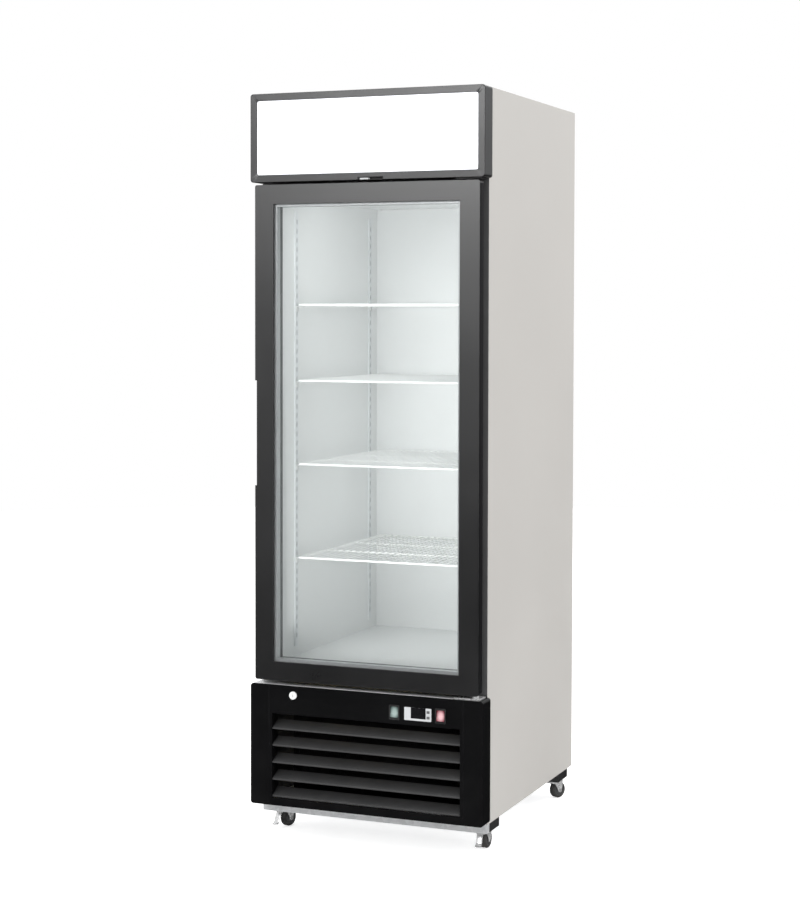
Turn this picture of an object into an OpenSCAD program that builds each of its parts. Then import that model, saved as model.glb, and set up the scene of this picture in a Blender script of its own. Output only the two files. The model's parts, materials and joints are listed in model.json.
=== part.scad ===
// Glass door merchandiser: an upright display refrigerator on four casters.
// The origin is on the floor, at the middle of the footprint. +Z is up and the door faces -Y.

/* [Cabinet] */
// Outer width of the insulated cabinet
body_w = 668; // [620:1:676]
// Overall depth, from the face of the lock to the back panel
total_d = 816; // [790:1:900]
// Width of the sign box and of the lower panel
front_w = 686; // [680:1:700]
// How far the sign box, the door and the lower panel stand in front of the cabinet
front_d = 58; // [58:0.5:64]
// Thickness of the insulated side walls
side_wall = 49; // [44:1:56]
// Thickness of the insulated back wall
back_wall = 61; // [50:1:70]
// How far the back panel stands in from the side panels' rear edges
back_inset = 3; // [2:0.5:6]

/* [Door] */
// Width of the door
door_w = 658; // [650:1:664]
// Height of the door
door_h = 1365; // [1300:1:1365]
// Width of the door's side rails
rail_x = 56; // [50:1:60]
// Height of the door's top and bottom rails
rail_z = 53; // [48:1:60]
// Height of the grip recess
grip_h = 290; // [150:1:400]
// Thickness of each glass pane
pane_t = 4; // [3:0.5:5]

/* [Sign box] */
// Height of the sign box
sign_h = 242; // [200:1:260]
// Width of the border round the lit panel
sign_border = 20; // [14:1:30]

/* [Lower panel] */
// Height of the lower panel
panel_h = 336; // [330:1:340]
// Number of louvre blades
blades = 5; // [4:1:6]
// Width of the louvred opening
louvre_w = 556; // [480:1:576]
// Height of the louvred opening
louvre_h = 236; // [210:1:240]

/* [Interior] */
// Number of lengthwise wires in each shelf
shelf_wires = 15; // [9:1:21]
// Depth of each shelf, front to back
shelf_d = 600; // [520:1:600]
// How far a shelf lifts clear of its clips
shelf_lift = 12; // [8:1:14]

/* [Casters] */
// Height of a caster, from the floor to its mounting plate
caster_h = 60; // [60:0.5:64]
// Diameter of a caster wheel
wheel_d = 49; // [46:0.5:49]
// Width of a caster wheel
wheel_w = 20; // [16:0.5:21]
// Distance of the axle behind the swivel
trail = 22; // [18:1:26]

/* [Hidden] */
$fn = 64;
eps = 0.01;
gap = 0.3;      // clearance between pieces that move past each other
skin = 1;       // outer sheet thickness
liner_t = 1.2;  // inner liner thickness
proud = 4;      // how far the lock stands in front of the front plane
fit = 0.05;     // radial clearance of a running fit

// Depths are measured back from the front plane of the door and the sign box
y_front = -total_d / 2 + proud;
back_d = total_d - proud;
sheet_d = back_d - back_inset;
collar_t = 4;
foam_d0 = front_d + collar_t;
cavity_d1 = back_d - back_wall;
cavity_x = body_w / 2 - side_wall;
header_t = 48;

// Heights above the floor
base_h = 24;
side_z0 = caster_h + base_h;
panel_z0 = 92;
panel_z1 = panel_z0 + panel_h;
door_z0 = panel_z1 + 12;
door_z1 = door_z0 + door_h;
sign_z0 = 1812;
total_h = sign_z0 + sign_h;
deck_z = panel_z1 + 4;
floor_z = 480;
mouth_z1 = 1768;
cavity_z1 = total_h - 50;

// Door section, as depths behind the front plane
plate_d = 30;
inner_d = 45;
pane_1 = 6;
pane_2 = 30;
window_x = door_w / 2 - rail_x;
window_z0 = door_z0 + rail_z;
window_z1 = door_z1 - rail_z;
bite = 13;
spacer_in = 7;
seal_x = 311;
seal_w = 24;
seal_z = 12;
grip_z = 1123;
pivot_x = 314;
pivot_d = 22;
pin_r = 5;

// Lower panel controls
shell_t = 3;
louvre_z0 = 113;
control_z = 380;
light_x = 89;
power_x = 222.5;
controller_x = 157.5;
lock_x = -212;
lock_z = 402.5;
tongue = 16;
plug_r = 6;

// Shelves, clips and pilasters
shelf_zs = [768, 1032, 1267, 1480];
shelf_d0 = 137;
shelf_x = 262;
rod_r = 3;
wire_r = 1.75;
pilaster_ds = [165, 690];
pilaster_w = 20;
pilaster_t = 3.8;

// Fans, motors and the refrigeration parts
fan_r = 78;
fan_hub_r = 18;
fan_h = 24;
shaft_r = 3;
cover_z = 1772;
evap_fan_d = 260;
cond_x = -50;
cond_z = 215;
cond_d = 120;
coil_x = 268;

// Casters: place of each swivel, and the way its wheel trails at rest
caster_x = 300;
caster_ds = [118, 725];
channel_ds = [80, 680];
channel_ws = [76, 88];
caster_turns = [75, 88, 40, 60];
plate_t = 2.5;
crown_z = caster_h - 8.5;
fork_in = wheel_w / 2 + 1.2;
fork_t = 2;
axle_r = 4;

// ---- helpers ----

// A box between two x values, two depths behind the front plane and two heights
module slab(x0, x1, d0, d1, z0, z1) {
    translate([x0, y_front + d0, z0])
        cube([x1 - x0, d1 - d0, z1 - z0]);
}

// A slab centred on x = 0
module mid(half, d0, d1, z0, z1) {
    slab(-half, half, d0, d1, z0, z1);
}

// A cylinder that runs back from depth d0 to depth d1
module rod_y(x, z, r, d0, d1) {
    translate([x, y_front + d0, z])
        rotate([-90, 0, 0])
            cylinder(r = r, h = d1 - d0);
}

// A cylinder that stands at a depth, from height z0 to z1
module post(x, d, r, z0, z1) {
    translate([x, y_front + d, z0])
        cylinder(r = r, h = z1 - z0);
}

// A rectangle with round corners, centred on the origin
module round_rect(w, h, r) {
    square([w - 2 * r, h], center = true);
    square([w, h - 2 * r], center = true);
    for (x = [-1, 1], y = [-1, 1])
        translate([x * (w / 2 - r), y * (h / 2 - r)])
            circle(r = r);
}

// A plate with round corners that faces the front
module front_plate(x, z, w, h, r, d0, d1) {
    translate([x, y_front + d1, z])
        rotate([90, 0, 0])
            linear_extrude(height = d1 - d0)
                round_rect(w, h, r);
}

// ---- cabinet ----

module side_panel(side) {
    x0 = side * body_w / 2;
    x1 = side * (body_w / 2 - skin);
    color("gainsboro")
        slab(min(x0, x1), max(x0, x1), front_d, back_d, side_z0, total_h);
}

module back_panel() {
    color("gainsboro")
        mid(body_w / 2 - skin, sheet_d - skin, sheet_d, deck_z, total_h - skin);
}

module top_panel() {
    color("gainsboro")
        mid(body_w / 2 - skin, foam_d0, back_d, total_h - skin, total_h);
}

module rear_grille() {
    slots = 9;
    pitch = 26;
    color("silver")
        difference() {
            mid(body_w / 2 - skin, back_d - 12, back_d - 10, side_z0 + 2, deck_z);
            for (i = [0 : slots - 1], side = [-1, 1])
                translate([0, 0, 150 + i * pitch])
                    slab(side * 130 - 95, side * 130 + 95, back_d - 14, back_d - 8, 0, 9);
            rod_y(-250, 118, 10.1, back_d - 14, back_d - 8);
        }
}

module front_collar() {
    color("dimgray")
        difference() {
            mid(body_w / 2 - skin, front_d, foam_d0, deck_z, total_h);
            mid(cavity_x, front_d - 1, foam_d0 + 1, floor_z, mouth_z1);
        }
}

// The chilled space, inset by g; it runs out through the mouth
module cavity(g) {
    front = foam_d0 - (g > 0 ? 1 : eps);
    mid(cavity_x - g, front, cavity_d1 - g, floor_z + g, mouth_z1 - g);
    mid(cavity_x - g, foam_d0 + header_t + g, cavity_d1 - g, floor_z + g, cavity_z1 - g);
}

module foam_insulation() {
    color("khaki")
        difference() {
            mid(body_w / 2 - skin, foam_d0, sheet_d - skin, deck_z, total_h - skin);
            cavity(0);
        }
}

module inner_liner() {
    color("white")
        difference() {
            intersection() {
                cavity(0);
                mid(body_w / 2, foam_d0, back_d, deck_z, total_h);
            }
            cavity(liner_t);
        }
}

// The galvanised pan, with its folded front rail
module base_pan() {
    rail_d = 22;
    color("silver")
        union() {
            mid(body_w / 2 - skin, front_d, back_d - skin, side_z0, side_z0 + 2);
            mid(body_w / 2 - skin, front_d, front_d + 2, caster_h, side_z0 + 6);
            mid(body_w / 2 - skin, front_d, front_d + rail_d, caster_h, caster_h + 2);
            for (side = [-1, 1])
                translate([side * (body_w / 2 - skin - 1), 0, 0])
                    mid(1, front_d, front_d + rail_d, caster_h, side_z0 + 2);
        }
}

module caster_channels() {
    color("black")
        for (i = [0, 1])
            difference() {
                mid(body_w / 2, channel_ds[i], channel_ds[i] + channel_ws[i], caster_h, side_z0);
                mid(body_w / 2 - 2, channel_ds[i] + 2, channel_ds[i] + channel_ws[i] - 2,
                    caster_h + 2.5, side_z0 + 1);
            }
}

// ---- refrigeration ----

module compressor() {
    x = 130;
    d = 470;
    r = 86;
    z0 = 104;
    h = 118;
    color("black")
        union() {
            translate([x, y_front + d, z0])
                cylinder(r = r, h = h);
            translate([x, y_front + d, z0 + h])
                rotate_extrude()
                    intersection() {
                        translate([0, -60])
                            circle(r = 105, $fn = 96);
                        square([r, 90]);
                    }
            slab(x - 110, x + 110, d - 60, d + 60, z0 - 4, z0 + eps);
            for (a = [-1, 1], b = [-1, 1])
                post(x + a * 95, d + b * 45, 12, side_z0 + 2, z0 - 4 + eps);
        }
}

// A finned block with its tube bends at both ends
module coil(x0, x1, d0, d1, z0, z1, rows) {
    fin_t = 1.2;
    fins = 24;
    step = (x1 - x0 - fin_t) / (fins - 1);
    tube_r = 5;
    union() {
        for (i = [0 : fins - 1])
            slab(x0 + i * step, x0 + i * step + fin_t, d0, d1, z0, z1);
        for (k = [0 : rows - 1])
            translate([x0 - 12, y_front + (d0 + d1) / 2, z0 + (k + 0.5) * (z1 - z0) / rows])
                rotate([0, 90, 0])
                    cylinder(r = tube_r, h = x1 - x0 + 24);
    }
}

module condenser_coil() {
    color("sienna")
        coil(-coil_x, coil_x, cond_d, cond_d + 40, cond_z - 115, cond_z + 115, 6);
}

module fan_shroud() {
    d0 = cond_d + 41;
    color("silver")
        difference() {
            slab(cond_x - 150, cond_x + 150, d0, d0 + 22, cond_z - 115, cond_z + 115);
            slab(cond_x - 148, cond_x + 148, d0 - 1, d0 + 20, cond_z - 113, cond_z + 113);
            rod_y(cond_x, cond_z, fan_r + 4, d0, d0 + 30);
        }
}

// A fan motor, drawn with its shaft pointing down and its feet on z = 0
module motor() {
    span = 184;
    foot_h = 36;
    translate([0, 0, foot_h])
        cylinder(r = 30, h = 46);
    cylinder(r = shaft_r, h = foot_h + 1);
    translate([-span / 2, -8, foot_h])
        cube([span, 16, 3]);
    for (side = [-1, 1])
        translate([side * (span / 2 - 1.5) - 1.5, -8, 0])
            cube([3, 16, foot_h + 1]);
}

// A fan, drawn round the z axis with its back on z = 0
module fan() {
    fan_blades = 5;
    difference() {
        union() {
            cylinder(r = fan_hub_r, h = fan_h);
            for (i = [0 : fan_blades - 1])
                rotate([0, 0, i * 360 / fan_blades])
                    translate([fan_hub_r - 4, 0, fan_h / 2])
                        rotate([28, 0, 0])
                            translate([0, -20, -0.8])
                                cube([fan_r - fan_hub_r, 40, 1.6]);
        }
        translate([0, 0, -1])
            cylinder(r = shaft_r + fit, h = fan_h + 2);
    }
}

module fan_motors() {
    color("black") {
        translate([0, y_front + evap_fan_d, cover_z + 2])
            motor();
        translate([cond_x, y_front + cond_d + 63, cond_z])
            rotate([-90, 0, 0])
                motor();
    }
}

module condenser_fan() {
    color("gray")
        translate([cond_x, y_front + cond_d + 63 + 4, cond_z])
            rotate([-90, 0, 0])
                fan();
}

module evaporator_fan() {
    color("gray")
        translate([0, y_front + evap_fan_d, cover_z + 2 + 4])
            fan();
}

module drain_pan() {
    color("silver")
        difference() {
            slab(-260, -40, 420, 700, side_z0 + 2, side_z0 + 42);
            slab(-258, -42, 422, 698, side_z0 + 4, side_z0 + 43);
        }
}

module evaporator_coil() {
    color("silver")
        coil(-230, 230, 470, 610, 1800, 1950, 4);
}

module evaporator_cover() {
    inner_x = cavity_x - liner_t - gap;
    d0 = foam_d0 + header_t + liner_t + 1;
    d1 = cavity_d1 - liner_t - gap;
    slots = 12;
    color("white")
        difference() {
            union() {
                mid(inner_x, d0, d1, cover_z, cover_z + 2);
                mid(inner_x, d0, d0 + 2, cover_z, cover_z + 20);
            }
            post(0, evap_fan_d, fan_r + 4, cover_z - 1, cover_z + 3);
            for (i = [0 : slots - 1])
                translate([(i - (slots - 1) / 2) * 36, 0, 0])
                    mid(9, d1 - 55, d1 - 15, cover_z - 1, cover_z + 3);
        }
}

// ---- interior ----

module shelf(i) {
    z = shelf_zs[i];
    d1 = shelf_d0 + shelf_d;
    step = 2 * shelf_x / (shelf_wires + 1);
    color("white")
        union() {
            for (side = [-1, 1])
                rod_y(side * shelf_x, z - rod_r, rod_r, shelf_d0, d1);
            for (d = [shelf_d0, d1])
                translate([-shelf_x, y_front + d, z - rod_r])
                    rotate([0, 90, 0])
                        cylinder(r = rod_r, h = 2 * shelf_x);
            for (k = [1 : shelf_wires])
                translate([-shelf_x + k * step, y_front + shelf_d0, z - wire_r])
                    rotate([-90, 0, 0])
                        cylinder(r = wire_r, h = shelf_d, $fn = 8);
            for (d = [shelf_d0 + 200, shelf_d0 + 400])
                translate([-shelf_x, y_front + d, z - rod_r - wire_r])
                    rotate([0, 90, 0])
                        cylinder(r = rod_r - 0.5, h = 2 * shelf_x, $fn = 8);
        }
}

module shelf_pilasters() {
    wall = cavity_x - liner_t;
    color("white")
        for (side = [-1, 1], d = pilaster_ds)
            translate([side * (wall - pilaster_t / 2), 0, 0])
                slab(-pilaster_t / 2, pilaster_t / 2, d - pilaster_w / 2, d + pilaster_w / 2,
                    floor_z + 30, cover_z - 30);
}

module shelf_clips() {
    face = cavity_x - liner_t - pilaster_t;
    reach = face - shelf_x + 4;
    color("silver")
        for (z = shelf_zs, side = [-1, 1], d = pilaster_ds)
            translate([side * face, y_front + d - 7, z - 2 * rod_r - gap])
                mirror([side > 0 ? 1 : 0, 0, 0])
                    rotate([-90, 0, 0])
                        linear_extrude(height = 14)
                            polygon([[0, 0], [reach, 0], [reach, 2.5], [2.5, 2.5], [2.5, 16], [0, 16]]);
}

module interior_lamp() {
    wall = cavity_x - liner_t;
    w = 20;
    color("azure")
        translate([wall - w / 2, y_front + 80, 520])
            linear_extrude(height = cover_z - 30 - 520)
                round_rect(w, 26, 6);
}

// ---- hinges ----

module lower_hinge_bracket() {
    color("silver")
        union() {
            slab(258, pivot_x + 17, 6, front_d - 4, panel_z1, panel_z1 + 4);
            post(pivot_x, pivot_d, pin_r + 4, panel_z1 + 4 - eps, door_z0 - gap);
            post(pivot_x, pivot_d, pin_r, panel_z1 + 2, door_z0 + 16);
        }
}

module upper_hinge_bracket() {
    color("silver")
        union() {
            slab(258, pivot_x + 17, 6, front_d - 4, sign_z0 - 4, sign_z0);
            post(pivot_x, pivot_d, pin_r, door_z1 - 16, sign_z0 - 2);
        }
}

// ---- sign box ----

module sign_housing() {
    color("dimgray")
        difference() {
            front_plate(0, sign_z0 + sign_h / 2, front_w, sign_h, 8, 0, front_d);
            front_plate(0, sign_z0 + sign_h / 2, front_w - 6, sign_h - 6, 5, shell_t, front_d + 1);
            front_plate(0, sign_z0 + sign_h / 2, front_w - 2 * sign_border, sign_h - 2 * sign_border,
                5, -1, shell_t + 1);
            slab(-20, 52, -1, 16, sign_z0 - 1, sign_z0 + 7);
        }
}

module sign_panel() {
    color("white")
        front_plate(0, sign_z0 + sign_h / 2, front_w - 8, sign_h - 18, 4, shell_t, shell_t + 3);
}

module sign_lamp() {
    half = 300;
    color("white")
        union() {
            translate([-half, y_front + 34, sign_z0 + sign_h / 2])
                rotate([0, 90, 0])
                    cylinder(r = 8, h = 2 * half);
            for (side = [-1, 1])
                translate([side * half, 0, sign_z0 + sign_h / 2])
                    slab(-8, 8, 20, front_d, -14, 14);
        }
}

module latch_track() {
    color("black")
        difference() {
            slab(-20, 52, 5, 16, sign_z0, sign_z0 + 7);
            slab(-18, 50, 4, 11, sign_z0 + 1, sign_z0 + 6);
        }
}

module sign_latch() {
    color("lightgray")
        union() {
            slab(-17.5, 11.5, 5 + gap, 11 - gap, sign_z0 + 1 + gap, sign_z0 + 6 - gap);
            slab(-15, 9, 1, 5 + gap + eps, sign_z0 + 1 + gap, sign_z0 + 6 - gap);
        }
}

// ---- door ----

module door_frame() {
    pocket_x = window_x + bite + 0.5;
    pocket_z = bite + 0.5;
    mouth_x = window_x - spacer_in;
    color("dimgray")
        difference() {
            union() {
                front_plate(0, (door_z0 + door_z1) / 2, door_w, door_h, 6, 0, plate_d);
                mid(seal_x, plate_d - eps, inner_d, door_z0 + seal_z, door_z1 - seal_z);
            }
            mid(window_x, -1, pane_1 + 1, window_z0, window_z1);
            mid(pocket_x, pane_1, pane_2 + pane_t, window_z0 - pocket_z, window_z1 + pocket_z);
            mid(mouth_x, pane_2, inner_d + 1, window_z0 + spacer_in, window_z1 - spacer_in);
            slab(-door_w / 2 - 1, -door_w / 2 + 18, 8, plate_d + 1, grip_z - grip_h / 2, grip_z + grip_h / 2);
            slab(-door_w / 2 - 1, -door_w / 2 + 5, -1, 9, grip_z - grip_h / 2, grip_z + grip_h / 2);
            post(pivot_x, pivot_d, pin_r + fit, door_z0 - 1, door_z0 + 18);
            post(pivot_x, pivot_d, pin_r + fit, door_z1 - 18, door_z1 + 1);
        }
}

module glass_panes() {
    color("lightcyan", 0.3)
        for (d = [pane_1, pane_2])
            mid(window_x + bite, d, d + pane_t, window_z0 - bite, window_z1 + bite);
}

module glass_spacer() {
    in_x = window_x - spacer_in;
    color("silver")
        difference() {
            mid(window_x + bite, pane_1 + pane_t, pane_2, window_z0 - bite, window_z1 + bite);
            mid(in_x, pane_1, pane_2 + 1, window_z0 + spacer_in, window_z1 - spacer_in);
        }
}

module door_gasket() {
    z0 = door_z0 + seal_z;
    z1 = door_z1 - seal_z;
    color("black")
        difference() {
            mid(seal_x, inner_d, front_d - gap, z0, z1);
            mid(seal_x - seal_w, inner_d - 1, front_d, z0 + seal_w, z1 - seal_w);
        }
}

// ---- lower panel ----

module grille_frame() {
    mid_z = panel_z0 + panel_h / 2;
    color("black")
        difference() {
            front_plate(0, mid_z, front_w, panel_h, 8, 0, front_d);
            front_plate(0, mid_z, front_w - 2 * shell_t, panel_h - 2 * shell_t, 5, shell_t, front_d + 1);
            mid(louvre_w / 2, -1, shell_t + 1, louvre_z0, louvre_z0 + louvre_h);
            rod_y(lock_x, lock_z, 9.6, -1, shell_t + 1);
            for (x = [light_x, power_x])
                front_plate(x, control_z, sleeve_w + 0.2, sleeve_h + 0.2, 1, -1, shell_t + 1);
            front_plate(controller_x, control_z, 71.2, 29.2, 1, -1, shell_t + 1);
        }
}

// Shallow blades that rise to the rear, between two cheeks
module louvre_blades() {
    pitch = louvre_h / blades;
    lean = 36;
    rise = 22;
    lip = 4.5;
    t = 2;
    half = louvre_w / 2;
    color("dimgray") {
        for (i = [0 : blades - 1])
            translate([-half + gap, y_front + shell_t, louvre_z0 + i * pitch + t])
                rotate([90, 0, 90])
                    linear_extrude(height = louvre_w - 2 * gap)
                        polygon([[0, 0], [t, 0], [t, lip - t], [lean, rise - t], [lean, rise], [0, lip]]);
        for (side = [-1, 1])
            translate([side * (half + t / 2), 0, 0])
                slab(-t / 2, t / 2, shell_t, shell_t + lean + t, louvre_z0 - t, louvre_z0 + louvre_h + t);
    }
}

module lock_body() {
    color("silver")
        difference() {
            union() {
                rod_y(lock_x, lock_z, 11, -proud, 0);
                rod_y(lock_x, lock_z, 9.5, -eps, 24);
                translate([lock_x, y_front + shell_t, lock_z])
                    rotate([-90, 0, 0])
                        cylinder(r = 15, h = 5, $fn = 6);
            }
            rod_y(lock_x, lock_z, plug_r, -proud - 1, 25);
        }
}

// The plug turns in the lock body and carries its tongue behind the panel
module lock_cylinder() {
    color("silver")
        difference() {
            union() {
                rod_y(lock_x, lock_z, plug_r - fit, -proud + 0.2, 26.5);
                slab(lock_x, lock_x + tongue, 24.5, 26.5, lock_z - 4, lock_z + 4);
                rod_y(lock_x + tongue, lock_z, 4, 24.5, 26.5);
            }
            slab(lock_x - 0.8, lock_x + 0.8, -proud, 3, lock_z - 4, lock_z + 4);
        }
}

// The rockers turn on two short pins, held in the bezels' side walls
rocker_d = 6;
rocker_w = 23;
rocker_h = 29;
rocker_pin_r = 1.2;
sleeve_w = rocker_w + 4.4;
sleeve_h = rocker_h + 6;

module rocker_pin(x, r, half) {
    translate([x - half, y_front + rocker_d, control_z])
        rotate([0, 90, 0])
            cylinder(r = r, h = 2 * half);
}

module switch_bezels() {
    color("black")
        for (x = [light_x, power_x])
            difference() {
                union() {
                    front_plate(x, control_z, rocker_w + 7, rocker_h + 11, 2.5, -2.5, 0);
                    front_plate(x, control_z, sleeve_w, sleeve_h, 1, -eps, 22);
                }
                front_plate(x, control_z, rocker_w + 0.8, rocker_h + 2.4, 0.5, -3, 16);
                rocker_pin(x, rocker_pin_r + fit, sleeve_w / 2 + 1);
            }
}

// A rocker that tilts about a level axis; at rest its upper half is pressed in
module rocker(x) {
    tilt = 7;
    top = rocker_h / 2;
    rocker_pin(x, rocker_pin_r, sleeve_w / 2 - 0.8);
    translate([x - rocker_w / 2, y_front + rocker_d, control_z])
        rotate([-tilt, 0, 0])
            rotate([90, 0, 90])
                linear_extrude(height = rocker_w)
                    polygon([
                        [-5.5, 0], [-7.2, top], [0, top], [4, 8],
                        [4, -8], [0, -top], [-7.2, -top]
                    ]);
}

module power_rocker() {
    color("red")
        rocker(power_x);
}

module light_rocker() {
    color("honeydew")
        rocker(light_x);
}

key_x = controller_x + 30;
key_up_z = control_z + 7.5;
key_down_z = control_z - 7.5;

module controller_case() {
    color("silver")
        difference() {
            union() {
                front_plate(controller_x, control_z, 78, 35, 2, -2, 0);
                front_plate(controller_x, control_z, 71, 29, 1, -eps, 50);
            }
            slab(controller_x - 20, controller_x + 23, -3, -0.5, control_z - 12, control_z + 18);
            for (z = [key_up_z, key_down_z])
                front_plate(key_x, z, 8.6, 6.6, 0.8, -3, 4);
        }
}

module controller_window() {
    color("black")
        slab(controller_x - 20, controller_x + 23, -1.8, -0.5, control_z - 12, control_z + 17.5);
}

module controller_key(z) {
    color("gray")
        front_plate(key_x, z, 8, 6, 0.8, -3, 2.5);
}

module power_inlet() {
    z = 118;
    x = -250;
    d = back_d - 12;
    color("black")
        difference() {
            union() {
                rod_y(x, z, 10, d - 14, d + 11);
                translate([x, y_front + d + 2, z])
                    rotate([-90, 0, 0])
                        cylinder(r = 15, h = 5, $fn = 6);
                translate([x, y_front + d - 5, z])
                    rotate([-90, 0, 0])
                        cylinder(r = 15, h = 5, $fn = 6);
            }
            rod_y(x, z, 4.5, d - 15, d + 12);
        }
}

// ---- casters ----

// Puts its children at the swivel of caster i, on the floor
module at_caster(i) {
    x = (i % 2 == 0 ? -1 : 1) * caster_x;
    translate([x, y_front + caster_ds[floor(i / 2)], 0])
        children();
}

module caster_plates() {
    color("silver")
        for (i = [0 : 3])
            at_caster(i) {
                translate([-30, -30, caster_h - plate_t])
                    cube([60, 60, plate_t]);
                translate([0, 0, crown_z + 2.8])
                    cylinder(r = 17, h = caster_h - plate_t - crown_z - 2.8 + eps);
                translate([0, 0, crown_z - 0.6])
                    cylinder(r = axle_r, h = 8);
            }
}

// The fork, with its riveted axle; the wheel trails along +X
module fork_shape() {
    axle_z = wheel_d / 2;
    boss = 7;
    difference() {
        union() {
            translate([0, 0, crown_z])
                cylinder(r = 19, h = 2.5);
            translate([0, -fork_in - fork_t, crown_z])
                cube([trail + 12, 2 * (fork_in + fork_t), 2.5]);
            for (side = [-1, 1])
                translate([0, side > 0 ? fork_in + fork_t : -fork_in, 0])
                    rotate([90, 0, 0])
                        linear_extrude(height = fork_t) {
                            polygon([
                                [-6, crown_z + 1], [trail + 12, crown_z + 1],
                                [trail + boss, axle_z], [trail - boss, axle_z]
                            ]);
                            translate([trail, axle_z])
                                circle(r = boss);
                        }
            translate([trail, fork_in + fork_t + 1.5, axle_z])
                rotate([90, 0, 0])
                    cylinder(r = axle_r, h = 2 * (fork_in + fork_t + 1.5));
        }
        translate([0, 0, crown_z - 1])
            cylinder(r = axle_r + fit, h = 5);
    }
}

module wheel_shape() {
    r = wheel_d / 2;
    round_r = 5;
    half = wheel_w / 2;
    translate([trail, 0, r])
        rotate([90, 0, 0])
            rotate_extrude()
                difference() {
                    union() {
                        translate([axle_r + fit, -half])
                            square([r - round_r - axle_r - fit, wheel_w]);
                        translate([axle_r + fit, -half + round_r])
                            square([r - axle_r - fit, wheel_w - 2 * round_r]);
                        for (side = [-1, 1])
                            translate([r - round_r, side * (half - round_r)])
                                circle(r = round_r);
                    }
                    for (side = [-1, 1])
                        translate([12, side * half - 1.5])
                            square([6, 3]);
                }
}

// The brake pedal turns on a lug of the fork, in front of the swivel
pedal_x = -16;
pedal_z = 47;
pedal_w = 18;
lug_y = 12;
lug_r = 3.2;
pedal_pin_r = 1.5;

module pedal_shape() {
    translate([pedal_x, pedal_w / 2, pedal_z])
        rotate([90, 0, 0])
            linear_extrude(height = pedal_w) {
                circle(r = lug_r);
                polygon([
                    [1, 0], [-7, -12], [-12, -28], [-19, -34], [-26, -33],
                    [-26, -30], [-19, -29], [-14, -25], [-9, -11], [-2, 1]
                ]);
            }
    translate([pedal_x, lug_y + 0.5, pedal_z])
        rotate([90, 0, 0])
            cylinder(r = pedal_pin_r, h = 2 * lug_y + 1);
}

// The two lugs that the pedal's pin runs in
module pedal_lugs() {
    for (side = [-1, 1])
        translate([pedal_x, side > 0 ? lug_y : -pedal_w / 2 - gap, pedal_z])
            rotate([90, 0, 0])
                linear_extrude(height = lug_y - pedal_w / 2 - gap)
                    difference() {
                        union() {
                            circle(r = lug_r);
                            translate([-lug_r, 0])
                                square([2 * lug_r, crown_z + 1 - pedal_z]);
                        }
                        circle(r = pedal_pin_r + fit);
                    }
}

module caster_fork(i) {
    color("silver")
        at_caster(i)
            rotate([0, 0, caster_turns[i]])
                union() {
                    fork_shape();
                    if (i < 2)
                        pedal_lugs();
                }
}

module caster_wheel(i) {
    color("black")
        at_caster(i)
            rotate([0, 0, caster_turns[i]])
                wheel_shape();
}

module brake_pedal(i) {
    color("silver")
        at_caster(i)
            rotate([0, 0, caster_turns[i]])
                pedal_shape();
}

// ---- nodes ----

side_panel(-1);  // left_side_panel
side_panel(1);  // right_side_panel
back_panel();
top_panel();
rear_grille();
front_collar();
foam_insulation();
inner_liner();
base_pan();
caster_channels();
compressor();
condenser_coil();
fan_shroud();
fan_motors();
condenser_fan();
drain_pan();
evaporator_coil();
evaporator_cover();
evaporator_fan();
shelf(0);  // shelf_1
shelf(1);  // shelf_2
shelf(2);  // shelf_3
shelf(3);  // shelf_4
shelf_pilasters();
shelf_clips();
interior_lamp();
lower_hinge_bracket();
upper_hinge_bracket();
sign_housing();
sign_panel();
sign_lamp();
latch_track();
sign_latch();
door_frame();
glass_panes();
glass_spacer();
door_gasket();
grille_frame();
louvre_blades();
lock_body();
lock_cylinder();
switch_bezels();
power_rocker();
light_rocker();
controller_case();
controller_window();
controller_key(key_up_z);  // controller_key_up
controller_key(key_down_z);  // controller_key_down
power_inlet();
caster_plates();
caster_fork(0);  // caster_fork_1
caster_fork(1);  // caster_fork_2
caster_fork(2);  // caster_fork_3
caster_fork(3);  // caster_fork_4
caster_wheel(0);  // caster_wheel_1
caster_wheel(1);  // caster_wheel_2
caster_wheel(2);  // caster_wheel_3
caster_wheel(3);  // caster_wheel_4
brake_pedal(0);  // brake_pedal_1
brake_pedal(1);  // brake_pedal_2
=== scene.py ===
import json
import math

import bmesh
import bpy
from mathutils import Matrix, Vector


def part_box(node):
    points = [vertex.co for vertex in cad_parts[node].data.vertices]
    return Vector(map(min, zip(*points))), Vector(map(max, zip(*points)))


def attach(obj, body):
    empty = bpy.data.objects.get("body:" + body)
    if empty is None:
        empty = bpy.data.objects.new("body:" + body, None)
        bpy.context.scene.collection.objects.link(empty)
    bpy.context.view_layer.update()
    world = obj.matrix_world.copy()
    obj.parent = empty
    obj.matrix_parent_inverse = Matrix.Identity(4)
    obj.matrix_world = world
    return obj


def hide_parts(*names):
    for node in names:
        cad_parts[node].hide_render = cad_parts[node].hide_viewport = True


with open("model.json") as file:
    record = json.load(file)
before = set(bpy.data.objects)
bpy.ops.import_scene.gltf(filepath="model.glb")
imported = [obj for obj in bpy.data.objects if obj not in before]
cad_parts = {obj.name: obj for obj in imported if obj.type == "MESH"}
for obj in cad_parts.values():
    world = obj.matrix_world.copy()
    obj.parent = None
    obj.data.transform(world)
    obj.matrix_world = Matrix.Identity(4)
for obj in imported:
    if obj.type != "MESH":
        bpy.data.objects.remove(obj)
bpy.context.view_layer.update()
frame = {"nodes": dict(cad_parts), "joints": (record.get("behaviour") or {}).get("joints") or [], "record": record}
nodes = frame["nodes"]

FRONT = -0.404


# ---------------------------------------------------------------- studio

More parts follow.
